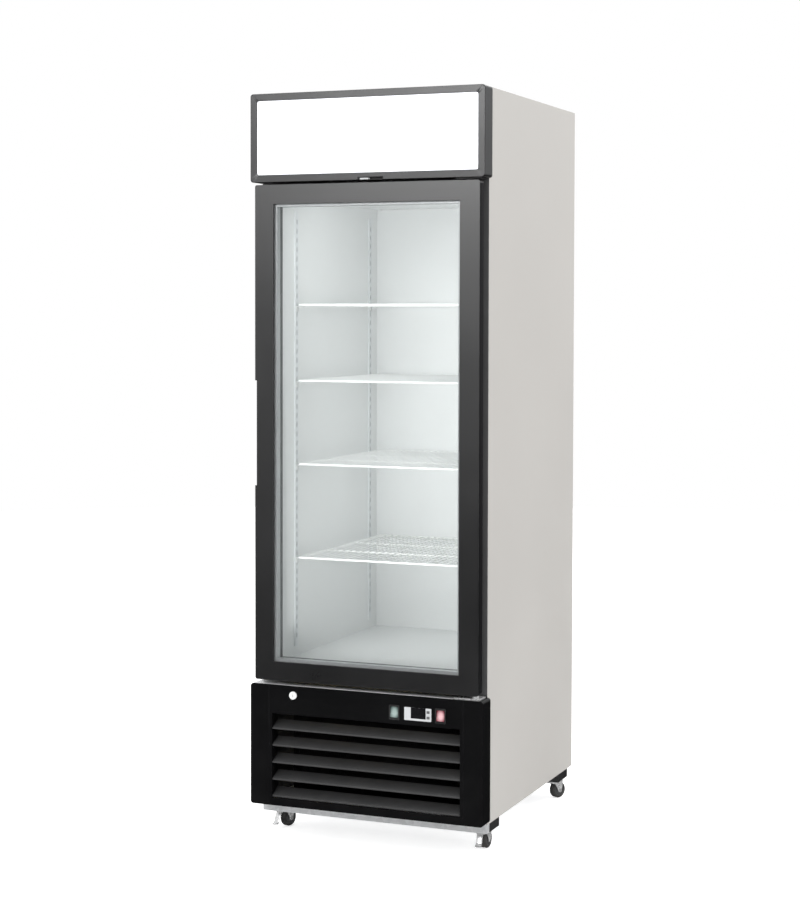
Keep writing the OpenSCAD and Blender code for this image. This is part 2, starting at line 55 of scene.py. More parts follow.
def place_camera():
    lens = bpy.data.cameras.new("camera")
    lens.sensor_width = 36.0
    lens.lens = 77.47
    lens.shift_y = -0.0815
    lens.clip_end = 60.0
    camera = bpy.data.objects.new("camera", lens)
    camera.location = (2.096, -5.231, 1.458)
    turn = Matrix.Rotation(math.radians(22.43), 4, "Z")
    tilt = Matrix.Rotation(math.radians(88.0), 4, "X")
    roll = Matrix.Rotation(math.radians(0.12), 4, "Z")
    camera.rotation_euler = (turn @ tilt @ roll).to_euler()
    bpy.context.scene.collection.objects.link(camera)
    bpy.context.scene.camera = camera


def softbox(name, place, target, width, height, watts, tint=(1.0, 1.0, 1.0)):
    lamp = bpy.data.lights.new(name, "AREA")
    lamp.shape = "RECTANGLE"
    lamp.size = width
    lamp.size_y = height
    lamp.energy = watts
    lamp.color = tint
    box = bpy.data.objects.new(name, lamp)
    box.location = place
    box.rotation_euler = (Vector(target) - Vector(place)).to_track_quat("-Z", "Y").to_euler()
    box.visible_camera = False
    bpy.context.scene.collection.objects.link(box)
    return box


def light_studio():
    softbox("key_softbox", (-1.3, -5.2, 3.05), (0.0, -0.4, 1.4), 2.4, 1.0, 80.0)
    softbox("side_softbox", (2.7, 0.35, 3.7), (0.33, 0.0, 1.8), 1.8, 1.2, 34.0, (1.0, 0.985, 0.96))
    softbox("back_softbox", (-1.5, 4.8, 3.4), (0.0, 0.3, 1.0), 3.4, 2.0, 60.0)
    softbox("top_softbox", (0.0, -0.3, 5.4), (0.0, 0.0, 0.0), 3.4, 3.4, 78.0)
    cool_white = (0.99, 0.995, 1.0)
    fill = softbox("cabinet_fill", (-0.03, FRONT + 0.075, 1.16), (0.0, 0.3, 1.18),
                   0.50, 1.18, 2.35, cool_white)
    fill.data.spread = math.radians(130)
    softbox("header_fill", (0.07, FRONT + 0.080, 1.70), (0.05, 0.30, 1.63), 0.32, 0.10, 0.54, cool_white)
    world = bpy.data.worlds.new("studio_walls")
    bpy.context.scene.world = world
    world.use_nodes = True
    tree = world.node_tree
    tree.nodes.clear()
    out = tree.nodes.new("ShaderNodeOutputWorld")
    mix = tree.nodes.new("ShaderNodeMixShader")
    path = tree.nodes.new("ShaderNodeLightPath")
    seen = tree.nodes.new("ShaderNodeBackground")
    seen.inputs["Color"].default_value = (1.0, 1.0, 1.0, 1.0)
    seen.inputs["Strength"].default_value = 1.0
    walls = tree.nodes.new("ShaderNodeBackground")
    walls.inputs["Strength"].default_value = 1.0
    coord = tree.nodes.new("ShaderNodeTexCoord")
    split = tree.nodes.new("ShaderNodeSeparateXYZ")
    ramp = tree.nodes.new("ShaderNodeValToRGB")
    ramp.color_ramp.elements[0].position = 0.44
    ramp.color_ramp.elements[0].color = (0.005, 0.005, 0.005, 1.0)
    ramp.color_ramp.elements[1].position = 0.61
    ramp.color_ramp.elements[1].color = (0.86, 0.865, 0.87, 1.0)
    rise = tree.nodes.new("ShaderNodeMapRange")
    rise.inputs["From Min"].default_value = -1.0
    rise.inputs["From Max"].default_value = 1.0
    tree.links.new(coord.outputs["Generated"], split.inputs[0])
    tree.links.new(split.outputs["Z"], rise.inputs["Value"])
    tree.links.new(rise.outputs[0], ramp.inputs[0])
    tree.links.new(ramp.outputs[0], walls.inputs["Color"])
    tree.links.new(path.outputs["Is Camera Ray"], mix.inputs[0])
    tree.links.new(walls.outputs[0], mix.inputs[1])
    tree.links.new(seen.outputs[0], mix.inputs[2])
    tree.links.new(mix.outputs[0], out.inputs[0])
    bpy.context.scene.view_settings.view_transform = "Standard"


# ---------------------------------------------------------------- finishes

class Finish:
    """One material's node tree, with short calls for its parts."""

    def __init__(self, name):
        self.material = bpy.data.materials.new(name)
        self.material.use_nodes = True
        self.tree = self.material.node_tree
        self.tree.nodes.clear()
        self.out = self.add("ShaderNodeOutputMaterial")
        self.shader = self.add("ShaderNodeBsdfPrincipled")
        self.join(self.shader.outputs[0], self.out.inputs[0])
        self.place = self.add("ShaderNodeTexCoord").outputs["Object"]

    def add(self, kind, **values):
        node = self.tree.nodes.new(kind)
        for key, value in values.items():
            setattr(node, key, value)
        return node

    def join(self, source, target):
        self.tree.links.new(source, target)

    def spread(self, scale):
        node = self.add("ShaderNodeMapping")
        node.inputs["Scale"].default_value = scale
        self.join(self.place, node.inputs[0])
        return node.outputs[0]

    def noise(self, scale, detail=3.0, stretch=None, rough=0.55):
        node = self.add("ShaderNodeTexNoise")
        node.inputs["Scale"].default_value = scale
        node.inputs["Detail"].default_value = detail
        node.inputs["Roughness"].default_value = rough
        self.join(self.spread(stretch) if stretch else self.place, node.inputs["Vector"])
        return node.outputs[0]

    def cells(self, scale):
        node = self.add("ShaderNodeTexVoronoi", feature="F1")
        node.inputs["Scale"].default_value = scale
        self.join(self.place, node.inputs["Vector"])
        return node

    def remap(self, source, low, high, to_low=0.0, to_high=1.0):
        node = self.add("ShaderNodeMapRange")
        for key, value in (("From Min", low), ("From Max", high), ("To Min", to_low), ("To Max", to_high)):
            node.inputs[key].default_value = value
        self.join(source, node.inputs["Value"])
        return node.outputs[0]

    def maths(self, operation, first, second):
        node = self.add("ShaderNodeMath", operation=operation)
        for socket, value in ((node.inputs[0], first), (node.inputs[1], second)):
            if isinstance(value, (int, float)):
                socket.default_value = value
            else:
                self.join(value, socket)
        return node.outputs[0]

    def blend(self, amount, first, second):
        node = self.add("ShaderNodeMix", data_type="RGBA")
        sockets = (node.inputs["Factor"], node.inputs[6], node.inputs[7])
        for socket, value in zip(sockets, (amount, first, second)):
            if isinstance(value, (int, float)):
                socket.default_value = value
            elif isinstance(value, tuple):
                socket.default_value = value if len(value) == 4 else value + (1.0,)
            else:
                self.join(value, socket)
        return node.outputs[2]

    def height(self):
        node = self.add("ShaderNodeSeparateXYZ")
        self.join(self.place, node.inputs[0])
        return node.outputs["Z"]

    def edges(self, radius=0.002, low=0.02, high=0.22):
        """1 along sharp edges, 0 on flat faces."""
        soft = self.add("ShaderNodeBevel", samples=4)
        soft.inputs["Radius"].default_value = radius
        plain = self.add("ShaderNodeNewGeometry")
        dot = self.add("ShaderNodeVectorMath", operation="DOT_PRODUCT")
        self.join(soft.outputs[0], dot.inputs[0])
        self.join(plain.outputs["Normal"], dot.inputs[1])
        return self.remap(dot.outputs["Value"], 1.0 - low, 1.0 - high)

    def bump(self, source, strength, distance=0.001):
        node = self.add("ShaderNodeBump")
        node.inputs["Strength"].default_value = strength
        node.inputs["Distance"].default_value = distance
        self.join(source, node.inputs["Height"])
        self.join(node.outputs[0], self.shader.inputs["Normal"])

    def settings(self, **values):
        names = {
            "metal": "Metallic", "spec": "Specular IOR Level", "coat": "Coat Weight",
            "coat_rough": "Coat Roughness", "rough": "Roughness", "ior": "IOR",
            "glow": "Emission Strength", "sheen": "Sheen Weight", "scatter": "Subsurface Weight",
        }
        for key, value in values.items():
            self.shader.inputs[names[key]].default_value = value


def tone(color, factor):
    return tuple(min(1.0, c * factor) for c in color)


def coated(name, color, rough, spec=0.5, peel=0.10, peel_scale=420.0, mottle=0.05, wear=None,
           dust_and_low_shade=(0.30, 0.295, 0.285), dust_and_low_shade_amount=0.10, coat=0.0, ior=1.5, painted_shade_inner_x=None):
    """Powder coat, paint or moulded plastic: mottled, with orange peel, a tint low down that is dust and painted
    shade (on light paint it darkens towards the bottom), and worn edges.
    """
    f = Finish(name)
    cloud = f.noise(2.2, 4.0)
    shade = f.blend(f.remap(cloud, 0.32, 0.68), tone(color, 1.0 - mottle), tone(color, 1.0 + mottle))
    fine = f.noise(peel_scale, 2.0)
    # Dust and painted shade: below about 0.6 m the colour blends towards the low tint, which darkens light paint
    # towards the bottom.
    dust_and_low_shade_mask = f.maths("MULTIPLY", f.remap(f.height(), 0.02, 0.62, 1.0, 0.0),
                     f.remap(f.noise(11.0, 5.0), 0.35, 0.75))
    shade = f.blend(f.maths("MULTIPLY", dust_and_low_shade_mask, dust_and_low_shade_amount), shade, dust_and_low_shade)
    # Painted shade: the panel's inner face, seen through the louvres into the machine bay, is painted near-black.
    if painted_shade_inner_x:
        across = f.add("ShaderNodeSeparateXYZ")
        f.join(f.place, across.inputs[0])
        inside = f.remap(f.maths("ABSOLUTE", across.outputs["X"], 0.0), painted_shade_inner_x, painted_shade_inner_x + 0.0002, 1.0, 0.0)
        shade = f.blend(inside, shade, (0.008, 0.008, 0.008))
    if wear:
        rub = f.maths("MULTIPLY", f.edges(), f.remap(f.noise(38.0, 4.0), 0.42, 0.62))
        shade = f.blend(f.maths("MULTIPLY", rub, wear[1]), shade, wear[0])
    f.join(shade, f.shader.inputs["Base Color"])
    texture = f.maths("ADD", cloud, f.maths("MULTIPLY", fine, 0.35))
    f.join(f.remap(texture, 0.4, 0.95, rough - 0.06, rough + 0.07), f.shader.inputs["Roughness"])
    f.bump(fine, peel, 0.0004)
    f.settings(spec=spec, coat=coat, coat_rough=0.12, ior=ior)
    return f.material


def brushed(name, color, rough, stretch, grain=0.10, scale=260.0, metal=1.0, mottle=0.06):
    """Bare metal with a directional grain."""
    f = Finish(name)
    lines = f.noise(scale, 3.0, stretch)
    cloud = f.noise(5.0, 4.0)
    mixed = f.maths("ADD", f.maths("MULTIPLY", lines, 0.6), f.maths("MULTIPLY", cloud, 0.4))
    shade = f.blend(f.remap(mixed, 0.35, 0.65),
                    tone(color, 1.0 - mottle), tone(color, 1.0 + mottle))
    f.join(shade, f.shader.inputs["Base Color"])
    f.join(f.remap(lines, 0.3, 0.7, rough - 0.05, rough + 0.08), f.shader.inputs["Roughness"])
    f.bump(lines, grain, 0.0003)
    f.settings(metal=metal)
    return f.material


def spangled(name, color, rough):
    """Hot-dip galvanised sheet, with its crystal pattern."""
    f = Finish(name)
    grains = f.cells(85.0)
    tint = f.add("ShaderNodeSeparateColor")
    f.join(grains.outputs["Color"], tint.inputs[0])
    shade = f.blend(tint.outputs[0], tone(color, 0.90), tone(color, 1.08))
    dulled = f.blend(f.remap(f.noise(7.0, 5.0), 0.5, 0.8, 0.0, 0.45), shade, tone(color, 0.80))
    f.join(dulled, f.shader.inputs["Base Color"])
    f.join(f.remap(tint.outputs[1], 0.0, 1.0, rough - 0.07, rough + 0.10), f.shader.inputs["Roughness"])
    f.bump(grains.outputs["Distance"], 0.05, 0.0003)
    f.settings(metal=0.45)
    return f.material


def plated(name, color, rough, metal=1.0):
    """Bright plating with fine scratches and slight tarnish."""
    f = Finish(name)
    scratch = f.noise(130.0, 5.0, (1.0, 1.0, 6.0), 0.7)
    haze = f.noise(24.0, 4.0)
    f.join(f.blend(f.remap(haze, 0.4, 0.72), color, tone(color, 0.82)), f.shader.inputs["Base Color"])
    f.join(f.remap(scratch, 0.35, 0.7, rough, rough + 0.16), f.shader.inputs["Roughness"])
    f.bump(scratch, 0.05, 0.0002)
    f.settings(metal=metal)
    return f.material


def clear_pane(name):
    """Window glass: clear straight through, brighter at a slant, with faint wiping marks."""
    f = Finish(name)
    f.tree.nodes.remove(f.shader)
    clear = f.add("ShaderNodeBsdfTransparent")
    clear.inputs["Color"].default_value = (0.990, 0.995, 0.993, 1.0)
    shine = f.add("ShaderNodeBsdfGlossy")
    shine.inputs["Color"].default_value = (1.0, 1.0, 1.0, 1.0)
    film = f.add("ShaderNodeBsdfDiffuse")
    film.inputs["Color"].default_value = (0.80, 0.85, 0.85, 1.0)
    wipe = f.noise(9.0, 5.0, (1.0, 1.0, 0.35))
    f.join(f.remap(wipe, 0.35, 0.7, 0.015, 0.05), shine.inputs["Roughness"])
    slant = f.add("ShaderNodeLayerWeight")
    slant.inputs["Blend"].default_value = 0.18
    glass = f.add("ShaderNodeMixShader")
    f.join(f.remap(slant.outputs["Fresnel"], 0.0, 1.0, 0.0, 0.9), glass.inputs[0])
    f.join(clear.outputs[0], glass.inputs[1])
    f.join(shine.outputs[0], glass.inputs[2])
    veiled = f.add("ShaderNodeMixShader")
    f.join(f.remap(wipe, 0.35, 0.75, 0.004, 0.020), veiled.inputs[0])
    f.join(glass.outputs[0], veiled.inputs[1])
    f.join(film.outputs[0], veiled.inputs[2])
    f.join(veiled.outputs[0], f.out.inputs[0])
    return f.material


def lit(name, color, glow, rough=0.3):
    """A translucent cover with a lamp behind it."""
    f = Finish(name)
    cloud = f.noise(3.0, 3.0)
    shade = f.blend(f.remap(cloud, 0.3, 0.7), tone(color, 0.975), color)
    f.join(shade, f.shader.inputs["Base Color"])
    f.join(shade, f.shader.inputs["Emission Color"])
    fine = f.noise(500.0, 2.0)
    f.join(f.remap(fine, 0.3, 0.7, rough - 0.05, rough + 0.08), f.shader.inputs["Roughness"])
    f.bump(fine, 0.05, 0.0003)
    f.settings(glow=glow, spec=0.4)
    return f.material


def lit_key(name, shell, core, center, radius, glow):
    """A rocker lit from inside: pale in the middle, deep at the rim."""
    f = Finish(name)
    shift = f.add("ShaderNodeVectorMath", operation="SUBTRACT")
    f.join(f.place, shift.inputs[0])
    shift.inputs[1].default_value = center
    squash = f.add("ShaderNodeVectorMath", operation="MULTIPLY")
    f.join(shift.outputs[0], squash.inputs[0])
    squash.inputs[1].default_value = (1.0, 0.2, 0.72)
    reach = f.add("ShaderNodeVectorMath", operation="LENGTH")
    f.join(squash.outputs[0], reach.inputs[0])
    spot = f.remap(reach.outputs["Value"], radius, radius * 0.35)
    grain = f.remap(f.noise(300.0, 3.0), 0.3, 0.7, 0.85, 1.0)
    spot = f.maths("MULTIPLY", spot, grain)
    shade = f.blend(spot, shell, core)
    f.join(shade, f.shader.inputs["Base Color"])
    f.join(shade, f.shader.inputs["Emission Color"])
    f.join(f.remap(spot, 0.0, 1.0, 0.22, 0.32), f.shader.inputs["Roughness"])
    f.bump(f.noise(700.0, 2.0), 0.04, 0.0002)
    f.settings(glow=glow, spec=0.5, coat=0.3, coat_rough=0.1)
    return f.material


def make_finishes():
    m = {}
    # The cream's low tint is darker than the cream: dust and painted shade towards the bottom of the panels.
    cream = {"color": (0.508, 0.492, 0.470), "rough": 0.38, "spec": 0.42, "peel": 0.06, "peel_scale": 520.0,
             "mottle": 0.018, "wear": ((0.42, 0.42, 0.42), 0.35), "dust_and_low_shade": (0.42, 0.39, 0.35)}
    m["side_paint"] = coated("side_paint", **cream)
    # Side panels whose inner faces are painted near-black: painted shade in the machine bay.
    m["side_sheet_painted_shade"] = coated("side_sheet_painted_shade", painted_shade_inner_x=-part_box("left_side_panel")[1].x + 0.0004, **cream)
    m["door_paint"] = coated("door_paint", (0.0045, 0.0045, 0.0052), 0.32, 0.70, 0.06, 620.0, 0.14,
                             wear=((0.16, 0.16, 0.17), 0.30), dust_and_low_shade_amount=0.03, ior=1.72)
    m["sign_paint"] = coated("sign_paint", (0.012, 0.012, 0.013), 0.34, 0.47, 0.06, 620.0, 0.12,
                             wear=((0.20, 0.20, 0.21), 0.35), dust_and_low_shade_amount=0.03, ior=1.72)
    # Painted light: the collar's grey is far lighter than the dark sign paint it matches, making up for the shade
    # it sits in.
    m["collar_paint_with_painted_light"] = coated("collar_paint_with_painted_light", (0.105, 0.105, 0.106), 0.42, 0.60, 0.07, 520.0, 0.08,
                               wear=((0.18, 0.18, 0.19), 0.3), dust_and_low_shade_amount=0.04, ior=1.6)
    m["panel_plastic"] = coated("panel_plastic", (0.0030, 0.0030, 0.0034), 0.34, 0.16, 0.05, 900.0, 0.16,
                                wear=((0.05, 0.05, 0.052), 0.20), dust_and_low_shade_amount=0.012)
    m["blade_plastic"] = coated("blade_plastic", (0.042, 0.042, 0.043), 0.50, 0.30, 0.10, 900.0, 0.08,
                                wear=((0.12, 0.12, 0.12), 0.3), dust_and_low_shade_amount=0.06)
    m["black_paint"] = coated("black_paint", (0.010, 0.010, 0.011), 0.45, 0.35, 0.12, 380.0, 0.12,
                              wear=((0.20, 0.19, 0.18), 0.5), dust_and_low_shade_amount=0.10)
    m["liner_white"] = coated("liner_white", (0.775, 0.785, 0.785), 0.34, 0.45, 0.045, 300.0, 0.022,
                              dust_and_low_shade_amount=0.0)
    m["shelf_coat"] = coated("shelf_coat", (0.90, 0.905, 0.90), 0.32, 0.5, 0.05, 700.0, 0.02, dust_and_low_shade_amount=0.0)
    m["pilaster_coat"] = coated("pilaster_coat", (0.72, 0.74, 0.75), 0.36, 0.5, 0.05, 700.0, 0.03,
                                wear=((0.5, 0.5, 0.5), 0.3), dust_and_low_shade_amount=0.0)
    # Grey for the pilaster slots: painted shade in the holes.
    m["slot_painted_shade"] = coated("slot_painted_shade", (0.40, 0.41, 0.42), 0.6, 0.3, 0.1, 700.0, 0.05, dust_and_low_shade_amount=0.0)
    m["foam"] = coated("foam", (0.62, 0.52, 0.27), 0.9, 0.2, 0.6, 240.0, 0.10, dust_and_low_shade_amount=0.0)
    m["gasket_rubber"] = coated("gasket_rubber", (0.007, 0.007, 0.008), 0.62, 0.15, 0.15, 800.0, 0.15,
                                dust_and_low_shade_amount=0.05)
    m["tread_rubber"] = coated("tread_rubber", (0.018, 0.018, 0.019), 0.55, 0.35, 0.25, 500.0, 0.2,
                               dust_and_low_shade=(0.22, 0.21, 0.19), dust_and_low_shade_amount=0.35)
    m["hub_plastic"] = coated("hub_plastic", (0.05, 0.05, 0.052), 0.45, 0.4, 0.10, 700.0, 0.12,
                              dust_and_low_shade_amount=0.2)
    m["black_gloss"] = coated("black_gloss", (0.006, 0.006, 0.007), 0.12, 0.45, 0.02, 700.0, 0.2,
                              dust_and_low_shade_amount=0.02)
    m["grey_plastic"] = coated("grey_plastic", (0.11, 0.11, 0.115), 0.48, 0.4, 0.10, 700.0, 0.08,
                               dust_and_low_shade_amount=0.0)
    m["silver_plastic"] = coated("silver_plastic", (0.52, 0.53, 0.54), 0.34, 0.5, 0.06, 900.0, 0.05,
                                 wear=((0.2, 0.2, 0.2), 0.3), dust_and_low_shade_amount=0.0, coat=0.2)
    m["galvanised"] = spangled("galvanised", (0.80, 0.81, 0.82), 0.36)
    m["bright_zinc"] = plated("bright_zinc", (0.84, 0.84, 0.84), 0.20, 0.55)
    m["chrome"] = plated("chrome", (0.88, 0.88, 0.88), 0.14, 0.70)
    m["lock_chrome"] = plated("lock_chrome", (0.96, 0.96, 0.95), 0.24, 0.25)
    m["edge_alloy"] = brushed("edge_alloy", (0.86, 0.86, 0.87), 0.30, (0.05, 1.0, 1.0), 0.08, 320.0, 0.35)
    m["spacer_alloy"] = brushed("spacer_alloy", (0.50, 0.51, 0.52), 0.34, (1.0, 1.0, 0.05), 0.08, 320.0, 0.5)
    m["fin_alloy"] = brushed("fin_alloy", (0.78, 0.79, 0.80), 0.38, (0.1, 1.0, 1.0), 0.08, 300.0)
    m["copper"] = brushed("copper", (0.72, 0.38, 0.24), 0.30, (0.2, 1.0, 1.0), 0.05, 200.0, 1.0, 0.12)
    m["black_tube"] = coated("black_tube", (0.016, 0.015, 0.014), 0.5, 0.3, 0.10, 500.0, 0.2,
                             dust_and_low_shade_amount=0.05)
    m["black_fin"] = coated("black_fin", (0.010, 0.010, 0.010), 0.6, 0.25, 0.10, 500.0, 0.2, dust_and_low_shade_amount=0.03)
    m["glass"] = clear_pane("glass")
    m["sign_light"] = lit("sign_light", (0.95, 0.965, 1.0), 0.64, 0.25)
    m["lamp_cover"] = lit("lamp_cover", (0.90, 0.96, 1.0), 0.20, 0.35)
    m["power_key"] = lit_key("power_key", (0.13, 0.010, 0.022), (0.66, 0.40, 0.42),
                             (0.2225, -0.405, 0.380), 0.0130, 0.20)
    m["light_key"] = lit_key("light_key", (0.040, 0.066, 0.062), (0.30, 0.38, 0.36),
                             (0.089, -0.405, 0.380), 0.0135, 0.05)
    return m


# ---------------------------------------------------------------- building

def new_object(name, mesh, material=None):
    piece = bpy.data.objects.new(name, mesh)
    bpy.context.scene.collection.objects.link(piece)
    if material:
        mesh.materials.clear()
        mesh.materials.append(material)
    return piece


def from_bmesh(name, bm, material, smooth_angle=38.0):
    bmesh.ops.recalc_face_normals(bm, faces=bm.faces)
    mesh = bpy.data.meshes.new(name)
    bm.to_mesh(mesh)
    bm.free()
    for face in mesh.polygons:
        face.use_smooth = True
    mesh.set_sharp_from_angle(angle=math.radians(smooth_angle))
    return new_object(name, mesh, material)


def bevel_edges(bm, width, segments=2, angle=38.0):
    sharp = [e for e in bm.edges if len(e.link_faces) == 2 and e.calc_face_angle(0.0) > math.radians(angle)]
    if sharp:
        bmesh.ops.bevel(bm, geom=sharp, offset=width, offset_type="OFFSET", segments=segments,
                        profile=0.5, affect="EDGES", clamp_overlap=True)


def softened(node, width, material, segments=2):
    """A copy of a CAD node with its sharp edges rounded, standing for that node."""
    bm = bmesh.new()
    bm.from_mesh(nodes[node].data)
    bmesh.ops.remove_doubles(bm, verts=bm.verts, dist=0.00002)
    bmesh.ops.dissolve_limit(bm, angle_limit=math.radians(0.8), verts=bm.verts, edges=bm.edges)
    bevel_edges(bm, width, segments)
    bmesh.ops.triangulate(bm, faces=[f for f in bm.faces if len(f.verts) > 4])
    piece = from_bmesh(node + "_rounded", bm, material)
    for face in piece.data.polygons:
        face.use_smooth = face.area < 0.00004
    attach(piece, body_with(node))
    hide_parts(node)
    return piece


BODY_OF = {n: body for body, names in frame["record"]["behaviour"]["bodies"].items() for n in names}


def body_with(node):
    return BODY_OF[node]


def block(bm, low, high):
    verts = bmesh.ops.create_cube(bm, size=1.0)["verts"]
    low, high = Vector(low), Vector(high)
    for v in verts:
        v.co = Vector(low[i] + (v.co[i] + 0.5) * (high[i] - low[i]) for i in range(3))
    return verts


def lathe(bm, profile, steps, place):
    """Turns a list of (radius, height) round z, closed at both ends, then puts it in place."""
    rings = []
    for radius, height in profile:
        if radius < 1e-6:
            rings.append([bm.verts.new(place @ Vector((0.0, 0.0, height)))])
        else:
            rings.append([
                bm.verts.new(place @ Vector((radius * math.cos(a), radius * math.sin(a), height)))
                for a in (2.0 * math.pi * k / steps for k in range(steps))
            ])
    for first, second in zip(rings, rings[1:]):
        for k in range(steps):
            n = (k + 1) % steps
            if len(first) == 1 and len(second) == 1:
                continue
            if len(first) == 1:
                bm.faces.new((first[0], second[k], second[n]))
            elif len(second) == 1:
                bm.faces.new((first[k], first[n], second[0]))
            else:
                bm.faces.new((first[k], first[n], second[n], second[k]))
    return rings


def closed_lathe(bm, profile, steps, place):
    """As lathe, for a profile that closes on itself: a ring."""
    rings = lathe(bm, profile, steps, place)
    for k in range(steps):
        n = (k + 1) % steps
        bm.faces.new((rings[-1][k], rings[-1][n], rings[0][n], rings[0][k]))


def frame_sweep(bm, half_x, z0, z1, section):
    """Sweeps a closed (inset, depth) section round a rectangle, mitred at its corners."""
    loops = []
    for inset, depth in section:
        x, y = half_x - inset, FRONT + depth
        loops.append([bm.verts.new(p) for p in (
            (-x, y, z0 + inset), (x, y, z0 + inset), (x, y, z1 - inset), (-x, y, z1 - inset))])
    count = len(loops)
    for i in range(count):
        a, b = loops[i], loops[(i + 1) % count]
        for k in range(4):
            n = (k + 1) % 4
            bm.faces.new((a[k], a[n], b[n], b[k]))


def along(direction, origin=(0.0, 0.0, 0.0)):
    """Puts +z along a direction."""
    turn = Vector(direction).to_track_quat("Z", "Y").to_matrix().to_4x4()
    return Matrix.Translation(origin) @ turn


# ---------------------------------------------------------------- repeated pieces

class Recipe:
    """A Geometry Nodes tree with named inputs, run once and turned into a plain mesh."""

    def __init__(self, name, inputs):
        self.tree = bpy.data.node_groups.new(name, "GeometryNodeTree")
        self.tree.interface.new_socket("Geometry", in_out="INPUT", socket_type="NodeSocketGeometry")
        for label, kind in inputs:
            self.tree.interface.new_socket(label, in_out="INPUT", socket_type="NodeSocket" + kind)
        self.tree.interface.new_socket("Geometry", in_out="OUTPUT", socket_type="NodeSocketGeometry")
        self.given = self.tree.nodes.new("NodeGroupInput")
        self.result = self.tree.nodes.new("NodeGroupOutput")

    def add(self, kind, **values):
        node = self.tree.nodes.new(kind)
        for key, value in values.items():
            setattr(node, key, value)
        return node

    def join(self, source, target):
        self.tree.links.new(source, target)

    def want(self, label):
        return self.given.outputs[label]

    def close(self, geometry):
        real = self.add("GeometryNodeRealizeInstances")
        paint = self.add("GeometryNodeSetMaterial")
        self.join(geometry, real.inputs[0])
        self.join(real.outputs[0], paint.inputs["Geometry"])
        self.join(self.want("Material"), paint.inputs["Material"])
        self.join(paint.outputs[0], self.result.inputs[0])

    def run(self, name, mesh, values, smooth_angle=40.0):
        carrier = new_object(name + "_carrier", mesh)
        modifier = carrier.modifiers.new("recipe", "NODES")
        modifier.node_group = self.tree
        for item in self.tree.interface.items_tree:
            if item.item_type == "SOCKET" and item.in_out == "INPUT" and item.name in values:
                modifier[item.identifier] = values[item.name]
        bpy.context.view_layer.update()
        graph = bpy.context.evaluated_depsgraph_get()
        plain = bpy.data.meshes.new_from_object(carrier.evaluated_get(graph))
        carrier.modifiers.remove(modifier)
        bpy.data.objects.remove(carrier)
        plain.name = name
        if smooth_angle:
            for face in plain.polygons:
                face.use_smooth = True
            plain.set_sharp_from_angle(angle=math.radians(smooth_angle))
        return new_object(name, plain)


def row_recipe():
    """Copies of one item along a straight row."""
    r = Recipe("row_of_items", [("Count", "Int"), ("Step", "Vector"), ("Start", "Vector"),
                                ("Item", "Object"), ("Material", "Material")])
    line = r.add("GeometryNodeMeshLine")
    r.join(r.want("Count"), line.inputs["Count"])
    r.join(r.want("Start"), line.inputs["Start Location"])
    r.join(r.want("Step"), line.inputs["Offset"])
    item = r.add("GeometryNodeObjectInfo")
    r.join(r.want("Item"), item.inputs["Object"])
    copies = r.add("GeometryNodeInstanceOnPoints")
    r.join(line.outputs[0], copies.inputs["Points"])
    r.join(item.outputs["Geometry"], copies.inputs["Instance"])
    r.close(copies.outputs[0])
    return r


def wire_recipe():
    """Round wire of one radius along every edge chain of the carrier."""
    r = Recipe("bent_wire", [("Radius", "Float"), ("Sides", "Int"), ("Corner", "Float"),
                             ("Material", "Material")])
    curve = r.add("GeometryNodeMeshToCurve")
    r.join(r.given.outputs[0], curve.inputs[0])
    fillet = r.add("GeometryNodeFilletCurve")
    fillet_mode = fillet.inputs.get("Mode")
    if fillet_mode is None:
        fillet.mode = "POLY"
    else:
        fillet_mode.default_value = "Poly"
    fillet.inputs["Count"].default_value = 5
    fillet.inputs["Limit Radius"].default_value = True
    r.join(curve.outputs[0], fillet.inputs["Curve"])
    r.join(r.want("Corner"), fillet.inputs["Radius"])
    ring = r.add("GeometryNodeCurvePrimitiveCircle")
    r.join(r.want("Sides"), ring.inputs["Resolution"])
    r.join(r.want("Radius"), ring.inputs["Radius"])
    tube = r.add("GeometryNodeCurveToMesh")
    tube.inputs["Fill Caps"].default_value = True
    r.join(fillet.outputs[0], tube.inputs["Curve"])
    r.join(ring.outputs[0], tube.inputs["Profile Curve"])
    r.close(tube.outputs[0])
    return r


def stud_recipe():
    """One item at each vertex of the carrier, its z along the normal, spun at random about it."""
    r = Recipe("studs_on_points", [("Item", "Object"), ("Size", "Float"), ("Seed", "Int"),
                                   ("Material", "Material")])
    facing = r.add("GeometryNodeInputNamedAttribute", data_type="FLOAT_VECTOR")
    facing.inputs["Name"].default_value = "facing"
    aim = r.add("FunctionNodeAlignRotationToVector", axis="Z")
    r.join(facing.outputs[0], aim.inputs["Vector"])
    spin = r.add("FunctionNodeRandomValue", data_type="FLOAT_VECTOR")
    spin.inputs[0].default_value = (0.0, 0.0, 0.0)
    spin.inputs[1].default_value = (0.0, 0.0, math.pi)
    r.join(r.want("Seed"), spin.inputs["Seed"])
    turn = r.add("FunctionNodeRotateRotation", rotation_space="LOCAL")
    r.join(aim.outputs[0], turn.inputs["Rotation"])
    r.join(spin.outputs[0], turn.inputs["Rotate By"])
    item = r.add("GeometryNodeObjectInfo")
    r.join(r.want("Item"), item.inputs["Object"])
    copies = r.add("GeometryNodeInstanceOnPoints")
    r.join(r.given.outputs[0], copies.inputs["Points"])
    r.join(item.outputs["Geometry"], copies.inputs["Instance"])
    r.join(turn.outputs[0], copies.inputs["Rotation"])
    r.join(r.want("Size"), copies.inputs["Scale"])
    r.close(copies.outputs[0])
    return r


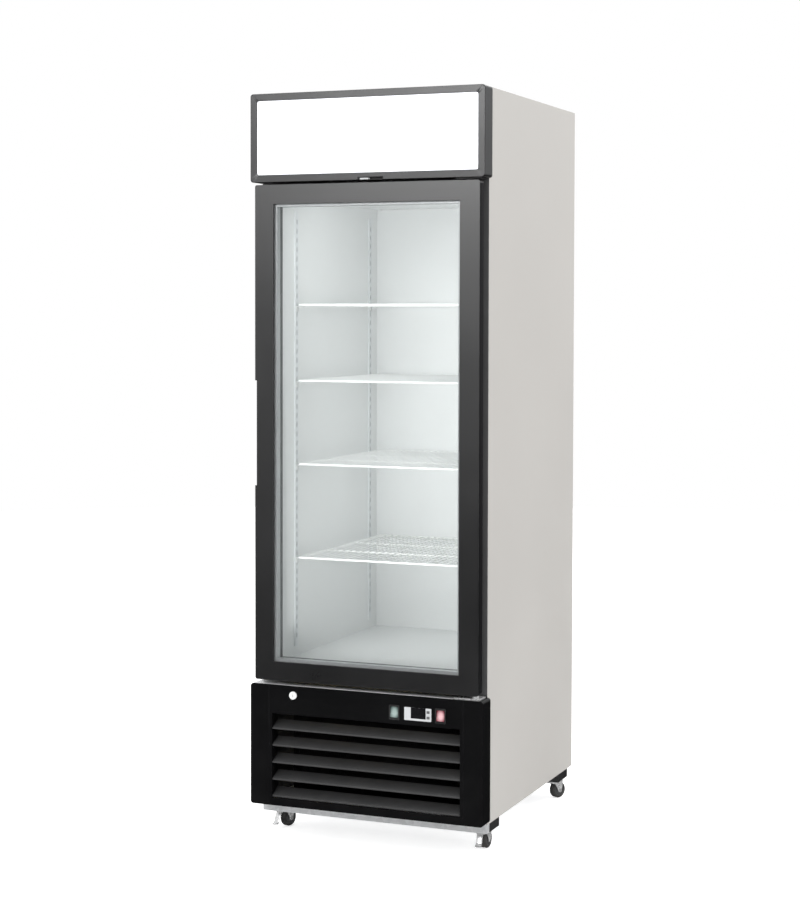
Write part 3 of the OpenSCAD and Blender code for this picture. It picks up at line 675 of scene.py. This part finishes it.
def ring_recipe():
    """Copies of one item turned evenly about the z axis."""
    r = Recipe("ring_of_items", [("Count", "Int"), ("Radius", "Float"), ("Item", "Object"),
                                 ("Material", "Material")])
    circle = r.add("GeometryNodeMeshCircle")
    r.join(r.want("Count"), circle.inputs["Vertices"])
    r.join(r.want("Radius"), circle.inputs["Radius"])
    spot = r.add("GeometryNodeInputPosition")
    aim = r.add("FunctionNodeAlignRotationToVector", axis="X")
    aim.pivot_axis = "Z"
    r.join(spot.outputs[0], aim.inputs["Vector"])
    item = r.add("GeometryNodeObjectInfo")
    r.join(r.want("Item"), item.inputs["Object"])
    copies = r.add("GeometryNodeInstanceOnPoints")
    r.join(circle.outputs[0], copies.inputs["Points"])
    r.join(item.outputs["Geometry"], copies.inputs["Instance"])
    r.join(aim.outputs[0], copies.inputs["Rotation"])
    r.close(copies.outputs[0])
    return r


def point_mesh(name, spots):
    """A mesh of loose vertices, each with the way it faces."""
    mesh = bpy.data.meshes.new(name)
    mesh.from_pydata([p for p, _ in spots], [], [])
    facing = mesh.attributes.new("facing", "FLOAT_VECTOR", "POINT")
    facing.data.foreach_set("vector", [c for _, n in spots for c in n])
    return mesh


def chain_mesh(name, chains, closed=False):
    """A mesh of edges, one chain of points after another."""
    points, links = [], []
    for chain in chains:
        first = len(points)
        points += [tuple(p) for p in chain]
        links += [(i, i + 1) for i in range(first, len(points) - 1)]
        if closed:
            links.append((len(points) - 1, first))
    mesh = bpy.data.meshes.new(name)
    mesh.from_pydata(points, links, [])
    return mesh


class Workshop:
    """The recipes and the small items they copy."""

    def __init__(self, finishes):
        self.m = finishes
        self.row = row_recipe()
        self.wire = wire_recipe()
        self.stud = stud_recipe()
        self.ring = ring_recipe()
        self.items = []
        self.screw = self.item("screw_item", self.screw_head)
        self.bolt = self.item("bolt_item", self.bolt_head)

    def item(self, name, build, *values):
        bm = bmesh.new()
        build(bm, *values)
        piece = from_bmesh(name, bm, None)
        piece.hide_render = True
        self.items.append(piece)
        return piece

    def clear(self):
        for piece in self.items:
            bpy.data.objects.remove(piece)

    @staticmethod
    def screw_head(bm):
        """A pan head of 1 m radius with a cross recess, to be scaled down."""
        profile = [(0.0, 0.62), (0.42, 0.60), (0.78, 0.46), (0.97, 0.22), (1.0, 0.0), (0.0, 0.0)]
        lathe(bm, profile, 16, Matrix.Identity(4))
        for turn in (0.0, math.pi / 2):
            verts = block(bm, (-0.52, -0.085, 0.575), (0.52, 0.085, 0.640))
            bmesh.ops.rotate(bm, verts=verts, cent=(0, 0, 0), matrix=Matrix.Rotation(turn, 3, "Z"))

    @staticmethod
    def bolt_head(bm):
        """A hexagon head on its washer, 1 m across the washer's radius."""
        lathe(bm, [(0.0, 0.16), (0.95, 0.16), (1.0, 0.11), (1.0, 0.0), (0.0, 0.0)], 20, Matrix.Identity(4))
        lathe(bm, [(0.0, 0.72), (0.52, 0.72), (0.66, 0.62), (0.66, 0.16), (0.0, 0.16)], 6, Matrix.Identity(4))

    def finish_piece(self, piece, body, replaced=()):
        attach(piece, body)
        if replaced:
            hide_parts(*replaced)
        return piece

    def screws(self, name, spots, size, body, finish="bright_zinc", seed=3, item=None):
        piece = self.stud.run(name, point_mesh(name, spots), {
            "Item": item or self.screw, "Size": size, "Seed": seed, "Material": self.m[finish]})
        return self.finish_piece(piece, body)

    def copies(self, name, item, count, step, start, finish, body, replaced=()):
        piece = self.row.run(name, bpy.data.meshes.new(name), {
            "Count": count, "Step": step, "Start": start, "Item": item, "Material": self.m[finish]})
        return self.finish_piece(piece, body, replaced)

    def wires(self, name, chains, radius, finish, body, corner=0.0, sides=10, closed=False, replaced=()):
        piece = self.wire.run(name, chain_mesh(name, chains, closed), {
            "Radius": radius, "Sides": sides, "Corner": corner, "Material": self.m[finish]})
        return self.finish_piece(piece, body, replaced)


# ---------------------------------------------------------------- cabinet

def paint_cad(m):
    """Gives every CAD node that stays in view its finish."""
    for names, finish in (
        (("left_side_panel", "right_side_panel"), "side_sheet_painted_shade"),
        (("back_panel", "top_panel"), "side_paint"),
        (("rear_grille", "base_pan", "drain_pan"), "galvanised"),
        (("lower_hinge_bracket", "shelf_clips"), "bright_zinc"),
        # The front collar's lightened grey is painted light.
        (("front_collar",), "collar_paint_with_painted_light"),
        (("foam_insulation",), "foam"),
        (("inner_liner", "evaporator_cover"), "liner_white"),
        (("shelf_pilasters",), "pilaster_coat"),
        # The upper hinge bracket takes black paint here: painted shade under the sign housing.
        (("caster_channels", "compressor", "fan_motors", "fan_shroud", "upper_hinge_bracket"), "black_paint"),
        (("condenser_coil",), "black_fin"),
        (("condenser_fan", "evaporator_fan"), "grey_plastic"),
        (("evaporator_coil",), "fin_alloy"),
        (("glass_spacer",), "spacer_alloy"),
        (("shelf_1", "shelf_2", "shelf_3", "shelf_4"), "shelf_coat"),
        (("interior_lamp", "sign_lamp"), "lamp_cover"),
        (("sign_housing",), "sign_paint"),
        (("sign_panel",), "sign_light"),
        (("latch_track", "switch_bezels", "power_inlet"), "black_paint"),
        (("controller_window",), "black_gloss"),
        (("sign_latch", "controller_case"), "silver_plastic"),
        (("door_frame",), "door_paint"),
        (("glass_panes",), "glass"),
        (("door_gasket",), "gasket_rubber"),
        (("grille_frame",), "panel_plastic"),
        (("louvre_blades",), "blade_plastic"),
        (("lock_body", "lock_cylinder"), "lock_chrome"),
        (("power_rocker",), "power_key"),
        (("light_rocker",), "light_key"),
        (("controller_key_up", "controller_key_down"), "grey_plastic"),
        (("caster_plates",), "bright_zinc"),
        (tuple("caster_fork_%d" % i for i in (1, 2, 3, 4)), "bright_zinc"),
        (tuple("caster_wheel_%d" % i for i in (1, 2, 3, 4)), "tread_rubber"),
        (("brake_pedal_1", "brake_pedal_2"), "bright_zinc"),
    ):
        for name in names:
            mesh = nodes[name].data
            mesh.materials.clear()
            mesh.materials.append(m[finish])


def round_main_pieces(m):
    softened("door_frame", 0.0012, m["door_paint"])
    softened("sign_housing", 0.0016, m["sign_paint"])
    softened("grille_frame", 0.0016, m["panel_plastic"])
    softened("controller_case", 0.0006, m["silver_plastic"])
    softened("switch_bezels", 0.0005, m["black_paint"])
    softened("power_rocker", 0.0008, m["power_key"])
    softened("light_rocker", 0.0008, m["light_key"])
    softened("sign_latch", 0.0005, m["silver_plastic"])
    softened("lower_hinge_bracket", 0.0006, m["bright_zinc"])
    # Black paint on the upper hinge bracket: painted shade under the sign housing.
    softened("upper_hinge_bracket", 0.0006, m["black_paint"])
    softened("interior_lamp", 0.0012, m["lamp_cover"])


def build_louvres(shop):
    """Shallow blades with rounded lips, between two cheeks."""
    low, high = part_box("louvre_blades")
    sheet = 0.002
    lean, rise, lip = 0.036, 0.022, 0.0045
    half = high.x - sheet - 0.0003
    count = 5
    pitch = (high.z - low.z - 2 * sheet) / count
    low_z = low.z + 2 * sheet

    def blade(bm):
        section = [(0.0, 0.0), (sheet, 0.0), (sheet, lip - sheet),
                   (lean, rise - sheet), (lean, rise), (0.0, lip)]
        ends = [[bm.verts.new((x, y, z)) for y, z in section] for x in (-half, half)]
        for i in range(len(section)):
            n = (i + 1) % len(section)
            bm.faces.new((ends[0][i], ends[0][n], ends[1][n], ends[1][i]))
        bm.faces.new(ends[0][::-1])
        bm.faces.new(ends[1])
        bmesh.ops.recalc_face_normals(bm, faces=bm.faces)
        bevel_edges(bm, 0.0007, 2, 20.0)

    item = shop.item("blade_item", blade)
    shop.copies("louvre_set", item, count, (0.0, 0.0, pitch), (0.0, low.y, low_z), "blade_plastic", "cabinet",
                ("louvre_blades",))
    bm = bmesh.new()
    for x in (low.x, high.x - sheet):
        block(bm, (x, low.y, low.z), (x + sheet, high.y, high.z))
    bevel_edges(bm, 0.0005, 2)
    cheeks = from_bmesh("louvre_cheeks", bm, shop.m["panel_plastic"])
    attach(cheeks, "cabinet")


def build_gasket(m):
    """The magnetic gasket: a dart, a bellows and a soft magnet sleeve."""
    bm = bmesh.new()
    section = [(0.0, 0.0455), (0.0015, 0.0450), (0.0225, 0.0450), (0.0240, 0.0458), (0.0225, 0.0485),
               (0.0195, 0.0500), (0.0228, 0.0520), (0.0235, 0.0540), (0.0225, 0.0572), (0.0205, 0.0577),
               (0.0045, 0.0577), (0.0025, 0.0570), (0.0018, 0.0545), (0.0048, 0.0528), (0.0016, 0.0505),
               (0.0040, 0.0488), (0.0010, 0.0470)]
    low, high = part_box("door_gasket")
    frame_sweep(bm, high.x, low.z, high.z, section)
    piece = from_bmesh("gasket_bellows", bm, m["gasket_rubber"], 50.0)
    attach(piece, "door")
    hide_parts("door_gasket")


def build_shelves(shop):
    """Coated wire shelves: a rim, cross braces and a deck of thin wires bent down at both ends."""
    for number in (1, 2, 3, 4):
        low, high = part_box("shelf_%d" % number)
        x = high.x - 0.003
        y0, y1 = low.y + 0.003, high.y - 0.003
        top = high.z
        body = "shelf_body_%d" % number
        rim = [[(-x, y0, top - 0.003), (x, y0, top - 0.003), (x, y1, top - 0.003), (-x, y1, top - 0.003)]]
        shop.wires("shelf_%d_rim" % number, rim, 0.003, "shelf_coat", body, 0.010, 12, True,
                   ("shelf_%d" % number,))
        braces = [[(-x, y, top - 0.0047), (x, y, top - 0.0047)] for y in (y0 + 0.2, y0 + 0.4)]
        shop.wires("shelf_%d_braces" % number, braces, 0.0025, "shelf_coat", body, 0.0, 10)
        wires = 25
        step = 2.0 * x / (wires + 1)
        deck = [[(-x + k * step, y0, top - 0.0040), (-x + k * step, y0, top - 0.0016),
                 (-x + k * step, y1, top - 0.0016), (-x + k * step, y1, top - 0.0040)]
                for k in range(1, wires + 1)]
        shop.wires("shelf_%d_deck" % number, deck, 0.0016, "shelf_coat", body, 0.0015, 8)


def build_trims(m):
    """The bright strip on top of the lower panel, the door's dark edge strip and the panel's two seams."""
    bm = bmesh.new()
    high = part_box("grille_frame")[1]
    block(bm, (-0.335, FRONT + 0.003, high.z), (0.257, FRONT + 0.0575, high.z + 0.0008))
    bevel_edges(bm, 0.0003, 2)
    strip = from_bmesh("threshold_strip", bm, m["edge_alloy"])
    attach(strip, "cabinet")
    bm = bmesh.new()
    low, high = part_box("door_frame")
    block(bm, (high.x - 0.0004, FRONT + 0.0025, low.z + 0.008),
          (high.x + 0.0006, FRONT + 0.0285, high.z - 0.008))
    bevel_edges(bm, 0.0003, 2)
    strip = from_bmesh("door_edge_strip", bm, m["gasket_rubber"])
    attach(strip, "door")
    bm = bmesh.new()
    for x in (-0.2865, 0.2865):
        block(bm, (x - 0.0006, FRONT - 0.0003, 0.094), (x + 0.0006, FRONT + 0.0010, 0.426))
    bevel_edges(bm, 0.0002, 1)
    seams = from_bmesh("panel_seams", bm, m["black_gloss"])
    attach(seams, "cabinet")


def build_pilaster_slots(shop):
    """The row of hook slots down each shelf pilaster, drawn as grey marks: painted shade in the holes."""
    low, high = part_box("shelf_pilasters")

    def slot(bm):
        block(bm, (-0.0006, -0.0025, -0.007), (0.0006, 0.0025, 0.007))
        bevel_edges(bm, 0.0005, 2)

    item = shop.item("slot_item", slot)
    count = 46
    for side in (-1, 1):
        for depth in (0.165, 0.690):
            face = side * (high.x - 0.0038)
            shop.copies("slots_%s_%d" % ("left" if side < 0 else "right", round(depth * 1000)), item, count,
                        (0.0, 0.0, 0.026), (face, FRONT + depth, low.z + 0.03), "slot_painted_shade", "cabinet")


def build_ceiling(shop):
    """Guard rings over the evaporator fan and the screws of its cover."""
    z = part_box("evaporator_cover")[0].z
    center = Vector((0.0, FRONT + 0.260, z))
    rings = [[center + Vector((r * math.cos(a), r * math.sin(a), 0.0008)) for a in
              (2.0 * math.pi * k / 40 for k in range(40))] for r in (0.020, 0.038, 0.056, 0.074)]
    shop.wires("fan_guard_rings", rings, 0.0011, "bright_zinc", "cabinet", 0.0, 6, True)
    spokes = [[center + Vector((0.020 * math.cos(a), 0.020 * math.sin(a), 0.0022)),
               center + Vector((0.086 * math.cos(a), 0.086 * math.sin(a), 0.0022))] for a in
              (math.radians(45 + 90 * k) for k in range(4))]
    shop.wires("fan_guard_spokes", spokes, 0.0012, "bright_zinc", "cabinet", 0.0, 6)
    spots = [((x, FRONT + d, z), (0.0, 0.0, -1.0)) for x in (-0.262, 0.262) for d in (0.13, 0.43, 0.73)]
    shop.screws("cover_screws", spots, 0.0042, "cabinet")


def build_back(shop):
    """Screws round the back panel."""
    low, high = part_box("back_panel")
    spots = []
    for k in range(9):
        z = low.z + 0.03 + k * (high.z - low.z - 0.06) / 8
        for x in (low.x + 0.012, high.x - 0.012):
            spots.append(((x, high.y - 0.0012, z), (0.0, 1.0, 0.0)))
    shop.screws("back_panel_screws", spots, 0.0045, "cabinet", seed=2)


def build_screws(shop):
    build_back(shop)
    low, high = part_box("rear_grille")
    y = high.y
    spots = [((x, y, z), (0.0, 1.0, 0.0)) for x in (low.x + 0.014, 0.0, high.x - 0.014)
             for z in (low.z + 0.014, high.z - 0.014)]
    spots += [((x, y, 0.26), (0.0, 1.0, 0.0)) for x in (low.x + 0.014, high.x - 0.014)]
    shop.screws("rear_grille_screws", spots, 0.0045, "cabinet", seed=5)


# ---------------------------------------------------------------- casters

def caster_frames():
    """The place of each swivel and the way its wheel trails, from the joints."""
    places = {}
    for joint in frame["joints"]:
        if joint["name"].startswith("caster_swivel_"):
            places.setdefault(int(joint["name"][-1]), {})["swivel"] = Vector(joint["pos_m"])
        if joint["name"].startswith("wheel_roll_"):
            spot = places.setdefault(int(joint["name"][-1]), {})
            spot["axle"] = Vector(joint["pos_m"])
            spot["axis"] = Vector(joint["axis"]).normalized()
    return places


def caster_place(spot):
    """How far the wheel trails, and the frame with +x from the swivel towards the axle."""
    swivel, axle = spot["swivel"], spot["axle"]
    ahead = Vector((axle.x - swivel.x, axle.y - swivel.y, 0.0))
    trail = ahead.length
    ahead.normalize()
    turn = Matrix.Rotation(math.atan2(ahead.y, ahead.x), 4, "Z")
    return trail, Matrix.Translation((swivel.x, swivel.y, 0.0)) @ turn


def build_casters(shop):
    m = shop.m
    for number, spot in sorted(caster_frames().items()):
        radius = spot["axle"].z
        half = 0.010
        place = along(spot["axis"], spot["axle"])
        bm = bmesh.new()
        tread = [(0.0172, -half + 0.0008), (0.0195, -half), (radius - 0.0035, -half),
                 (radius - 0.0012, -half + 0.0016), (radius, -half + 0.0042), (radius, -0.0042),
                 (radius - 0.0007, -0.0036), (radius - 0.0007, 0.0036), (radius, 0.0042),
                 (radius, half - 0.0042), (radius - 0.0012, half - 0.0016), (radius - 0.0035, half),
                 (0.0195, half), (0.0172, half - 0.0008)]
        closed_lathe(bm, tread, 56, place)
        tyre = from_bmesh("caster_%d_tread" % number, bm, m["tread_rubber"], 50.0)
        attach(tyre, "wheel_%d" % number)
        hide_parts("caster_wheel_%d" % number)
        bm = bmesh.new()
        hub = [(0.00415, -half + 0.0005), (0.0068, -half + 0.0005), (0.0072, -half + 0.0020),
               (0.0150, -half + 0.0032), (0.0160, -half + 0.0008), (0.01715, -half + 0.0008),
               (0.01715, half - 0.0008), (0.0160, half - 0.0008), (0.0150, half - 0.0032),
               (0.0072, half - 0.0020), (0.0068, half - 0.0005), (0.00415, half - 0.0005)]
        closed_lathe(bm, hub, 48, place)
        core = from_bmesh("caster_%d_hub" % number, bm, m["hub_plastic"], 40.0)
        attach(core, "wheel_%d" % number)
        build_fork(shop, number, spot)
        if number < 3:
            build_pedal(shop, number, spot)
    spots = [((s["swivel"].x + a * 0.022, s["swivel"].y + b * 0.022, 0.0575), (0.0, 0.0, -1.0))
             for s in caster_frames().values() for a in (-1, 1) for b in (-1, 1)]
    shop.screws("caster_bolts", spots, 0.0044, "cabinet", item=shop.bolt)


def build_fork(shop, number, spot):
    """The pressed fork: a domed crown, two tapering legs with a ridge, and the axle's nut."""
    m = shop.m
    swivel, axle, axis = spot["swivel"], spot["axle"], spot["axis"]
    trail, place = caster_place(spot)
    body = "fork_%d" % number
    bm = bmesh.new()
    crown = 0.0515
    dome = [(0.0043, crown + 0.0002), (0.0180, crown + 0.0002), (0.0188, crown - 0.0030),
            (0.0196, crown - 0.0030), (0.0192, crown + 0.0015), (0.0180, crown + 0.0024),
            (0.0043, crown + 0.0024)]
    closed_lathe(bm, dome, 40, place)
    outline = [(-0.010, crown + 0.0024), (trail + 0.0115, crown + 0.0024), (trail + 0.0105, 0.0430),
               (trail + 0.0075, 0.0270), (trail + 0.0058, 0.0195), (trail, 0.0172), (trail - 0.0058, 0.0195),
               (trail - 0.0078, 0.0270), (0.0035, 0.0440), (-0.0080, 0.0470)]
    for side in (-1, 1):
        near, far = side * 0.0113, side * 0.0132
        loops = [[bm.verts.new(place @ Vector((x, y, z))) for x, z in outline] for y in (near, far)]
        for i in range(len(outline)):
            n = (i + 1) % len(outline)
            bm.faces.new((loops[0][i], loops[0][n], loops[1][n], loops[1][i]))
        bm.faces.new(loops[0])
        bm.faces.new(loops[1][::-1])
    bmesh.ops.recalc_face_normals(bm, faces=bm.faces)
    bevel_edges(bm, 0.0005, 2, 50.0)
    shell = from_bmesh("caster_%d_fork" % number, bm, m["bright_zinc"], 45.0)
    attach(shell, body)
    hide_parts("caster_fork_%d" % number)
    bm = bmesh.new()
    pin = along(axis, axle)
    lathe(bm, [(0.0, -0.0146), (0.0030, -0.0146), (0.0038, -0.0138),
               (0.0038, 0.0138), (0.0030, 0.0146), (0.0, 0.0146)], 20, pin)
    for low_end, high_end in ((-0.0144, -0.0133), (0.0133, 0.0144)):
        lathe(bm, [(0.0, low_end), (0.0058, low_end), (0.0058, high_end), (0.0, high_end)], 6, pin)
    bolt = from_bmesh("caster_%d_axle" % number, bm, m["chrome"], 40.0)
    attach(bolt, body)
    bm = bmesh.new()
    bead = [(0.0, 0.0001), (0.0012, 0.0001), (0.0019, 0.0008), (0.0019, 0.0016), (0.0, 0.0022)]
    lathe(bm, bead, 10, Matrix.Identity(4))
    ball = from_bmesh("race_item_%d" % number, bm, None)
    ball.hide_render = True
    shop.items.append(ball)
    race = shop.ring.run("caster_%d_race" % number, bpy.data.meshes.new("race"), {
        "Count": 14, "Radius": 0.0145, "Item": ball, "Material": m["chrome"]})
    race.data.transform(Matrix.Translation((swivel.x, swivel.y, crown - 0.0024)))
    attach(race, body)


def build_pedal(shop, number, spot):
    """A domed brake tab on its pin, in front of the swivel."""
    m = shop.m
    place = caster_place(spot)[1]
    path = [(-0.0150, 0.0478, 0.0085), (-0.0195, 0.0440, 0.0088), (-0.0238, 0.0355, 0.0088),
            (-0.0262, 0.0270, 0.0089), (-0.0290, 0.0200, 0.0089), (-0.0330, 0.0162, 0.0089),
            (-0.0375, 0.0153, 0.0080), (-0.0412, 0.0162, 0.0058)]
    bm = bmesh.new()
    rows = []
    across = [-1.0, -0.85, -0.5, 0.0, 0.5, 0.85, 1.0]
    for x, z, half in path:
        rows.append([(Vector((x, half * t, z)), 0.0016 * (1.0 - t * t)) for t in across])
    for side in (0, 1):
        grid = []
        for i, row in enumerate(rows):
            before, after = rows[max(i - 1, 0)][3][0], rows[min(i + 1, len(rows) - 1)][3][0]
            run = (after - before).normalized()
            out = Vector((-run.z, 0.0, run.x))
            if out.x > 0:
                out = -out
            grid.append([bm.verts.new(place @ (p + out * (crown - side * 0.0016))) for p, crown in row])
        for a, b in zip(grid, grid[1:]):
            for k in range(len(across) - 1):
                bm.faces.new((a[k], a[k + 1], b[k + 1], b[k]))
        if side == 0:
            outer = grid
    inner = grid
    last = len(path) - 1
    for k in range(len(across) - 1):
        bm.faces.new((outer[0][k], outer[0][k + 1], inner[0][k + 1], inner[0][k]))
        bm.faces.new((outer[last][k], outer[last][k + 1], inner[last][k + 1], inner[last][k]))
    for i in range(last):
        for k in (0, len(across) - 1):
            bm.faces.new((outer[i][k], outer[i + 1][k], inner[i + 1][k], inner[i][k]))
    pin = [(0.0, -0.0122), (0.0015, -0.0122), (0.0015, -0.0088), (0.0030, -0.0088),
           (0.0030, 0.0088), (0.0015, 0.0088), (0.0015, 0.0122), (0.0, 0.0122)]
    lathe(bm, pin, 18, place @ along((0.0, 1.0, 0.0), (-0.016, 0.0, 0.047)))
    tab = from_bmesh("brake_tab_%d" % number, bm, m["chrome"], 60.0)
    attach(tab, "pedal_%d" % number)
    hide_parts("brake_pedal_%d" % number)


# ---------------------------------------------------------------- machine bay

def build_fan(shop, node, body, axis):
    """A five-bladed fan with twisted, swept blades."""
    low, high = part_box(node)
    center = (low + high) / 2
    if node == "evaporator_fan":
        center.x, center.y = 0.0, FRONT + 0.260
    else:
        center.x, center.z = -0.05, 0.215
    place = along(axis, center)
    blades, root, tip = 5, 0.0165, 0.0745
    bm = bmesh.new()
    hub = [(0.00305, -0.012), (0.015, -0.012), (0.018, -0.009),
           (0.018, 0.009), (0.015, 0.012), (0.00305, 0.012)]
    closed_lathe(bm, hub, 32, place)
    for blade in range(blades):
        start = 2.0 * math.pi * blade / blades
        sheets = []
        for lift in (-0.0006, 0.0006):
            grid = []
            for i in range(7):
                r = root + i * (tip - root) / 6
                span = math.radians(50 - 6 * abs(i - 3))
                row = []
                for j in range(6):
                    t = j / 5 - 0.5
                    a = start + t * span + 0.05 * i
                    rise = t * 0.019 * (1.0 - 0.35 * i / 6) + 0.003 * (0.25 - t * t)
                    row.append(bm.verts.new(place @ Vector((r * math.cos(a), r * math.sin(a), rise + lift))))
                grid.append(row)
            for a, b in zip(grid, grid[1:]):
                for j in range(5):
                    bm.faces.new((a[j], a[j + 1], b[j + 1], b[j]))
            sheets.append(grid)
        lower, upper = sheets
        for i in range(6):
            for j in (0, 5):
                bm.faces.new((lower[i][j], lower[i + 1][j], upper[i + 1][j], upper[i][j]))
        for j in range(5):
            for i in (0, 6):
                bm.faces.new((lower[i][j], lower[i][j + 1], upper[i][j + 1], upper[i][j]))
    piece = from_bmesh(node + "_rotor", bm, shop.m["grey_plastic"], 50.0)
    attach(piece, body)
    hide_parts(node)


def build_coil(shop, node, rows, finish, tube_finish):
    """Thin fins on tubes, with a return bend at each end."""
    low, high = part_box(node)
    x0, x1 = low.x + 0.012, high.x - 0.012
    pitch = (high.z - low.z) / rows

    def fin(bm):
        block(bm, (-0.00025, low.y, low.z), (0.00025, high.y, high.z))

    item = shop.item(node + "_fin_item", fin)
    count = 90
    step = ((x1 - x0) / (count - 1), 0.0, 0.0)
    shop.copies(node + "_fins", item, count, step, (x0, 0.0, 0.0), finish, "cabinet", (node,))
    y = (low.y + high.y) / 2
    chain = []
    for k in range(rows):
        z = low.z + (k + 0.5) * pitch
        ends = ((x0 - 0.007, z), (x1 + 0.007, z))
        chain += [(x, y, h) for x, h in (ends if k % 2 == 0 else ends[::-1])]
    shop.wires(node + "_tubes", [chain], 0.0046, tube_finish, "cabinet", 0.010, 10)


def build_compressor(shop):
    """A welded steel shell on its feet, with tubes and a terminal cover."""
    m = shop.m
    x, y = 0.130, FRONT + 0.470
    bm = bmesh.new()
    pot = [(0.0, 0.104), (0.060, 0.104), (0.078, 0.110), (0.0845, 0.125), (0.0845, 0.168),
           (0.0858, 0.170), (0.0858, 0.174), (0.0845, 0.176), (0.0845, 0.232), (0.079, 0.252),
           (0.062, 0.268), (0.035, 0.276), (0.0, 0.278)]
    lathe(bm, pot, 64, Matrix.Translation((x, y, 0.0)))
    block(bm, (x - 0.108, y - 0.058, 0.1005), (x + 0.108, y + 0.058, 0.1040))
    block(bm, (x - 0.045, y - 0.0985 + 0.012, 0.150), (x + 0.020, y - 0.070, 0.215))
    for a in (-1, 1):
        for b in (-1, 1):
            foot = [(0.0, 0.0865), (0.011, 0.0865), (0.012, 0.089), (0.0085, 0.0935),
                    (0.012, 0.098), (0.011, 0.1005), (0.0, 0.1005)]
            lathe(bm, foot, 20, Matrix.Translation((x + a * 0.094, y + b * 0.044, 0.0)))
    shell = from_bmesh("compressor_shell", bm, m["black_paint"], 40.0)
    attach(shell, "cabinet")
    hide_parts("compressor")
    tubes = [[(x - 0.02, y + 0.082, 0.15), (x - 0.02, y + 0.115, 0.15), (x - 0.02, y + 0.115, 0.31),
              (x - 0.02, y + 0.05, 0.33), (x - 0.02, y + 0.05, 0.425)],
             [(x - 0.080, y - 0.02, 0.20), (x - 0.125, y - 0.02, 0.20), (x - 0.125, y - 0.25, 0.29),
              (0.108, y - 0.33, 0.29)]]
    shop.wires("refrigerant_lines", tubes, 0.004, "black_tube", "cabinet", 0.02, 10)


def main():
    light_studio()
    m = make_finishes()
    floor = bpy.data.meshes.new("studio_floor")
    bm = bmesh.new()
    bmesh.ops.create_circle(bm, cap_ends=True, radius=9.0, segments=96)
    bm.to_mesh(floor)
    bm.free()
    paper = Finish("floor_paper")
    pulp = paper.remap(paper.noise(0.6, 3.0), 0.3, 0.7)
    paper.join(paper.blend(pulp, (0.90, 0.90, 0.90), (0.93, 0.93, 0.93)), paper.shader.inputs["Base Color"])
    paper.settings(rough=0.9, spec=0.0, glow=0.62)
    paper.shader.inputs["Emission Color"].default_value = (1.0, 1.0, 1.0, 1.0)
    sheet = new_object("studio_floor", floor, paper.material)
    sheet.visible_glossy = False
    paint_cad(m)
    shop = Workshop(m)
    round_main_pieces(m)
    build_louvres(shop)
    build_gasket(m)
    build_trims(m)
    build_shelves(shop)
    build_pilaster_slots(shop)
    build_ceiling(shop)
    build_screws(shop)
    build_casters(shop)
    build_fan(shop, "evaporator_fan", "evaporator_fan_body", (0.0, 0.0, 1.0))
    build_fan(shop, "condenser_fan", "condenser_fan_body", (0.0, 1.0, 0.0))
    build_coil(shop, "condenser_coil", 6, "black_fin", "black_tube")
    build_coil(shop, "evaporator_coil", 4, "fin_alloy", "copper")
    build_compressor(shop)
    shop.clear()
    place_camera()


main()
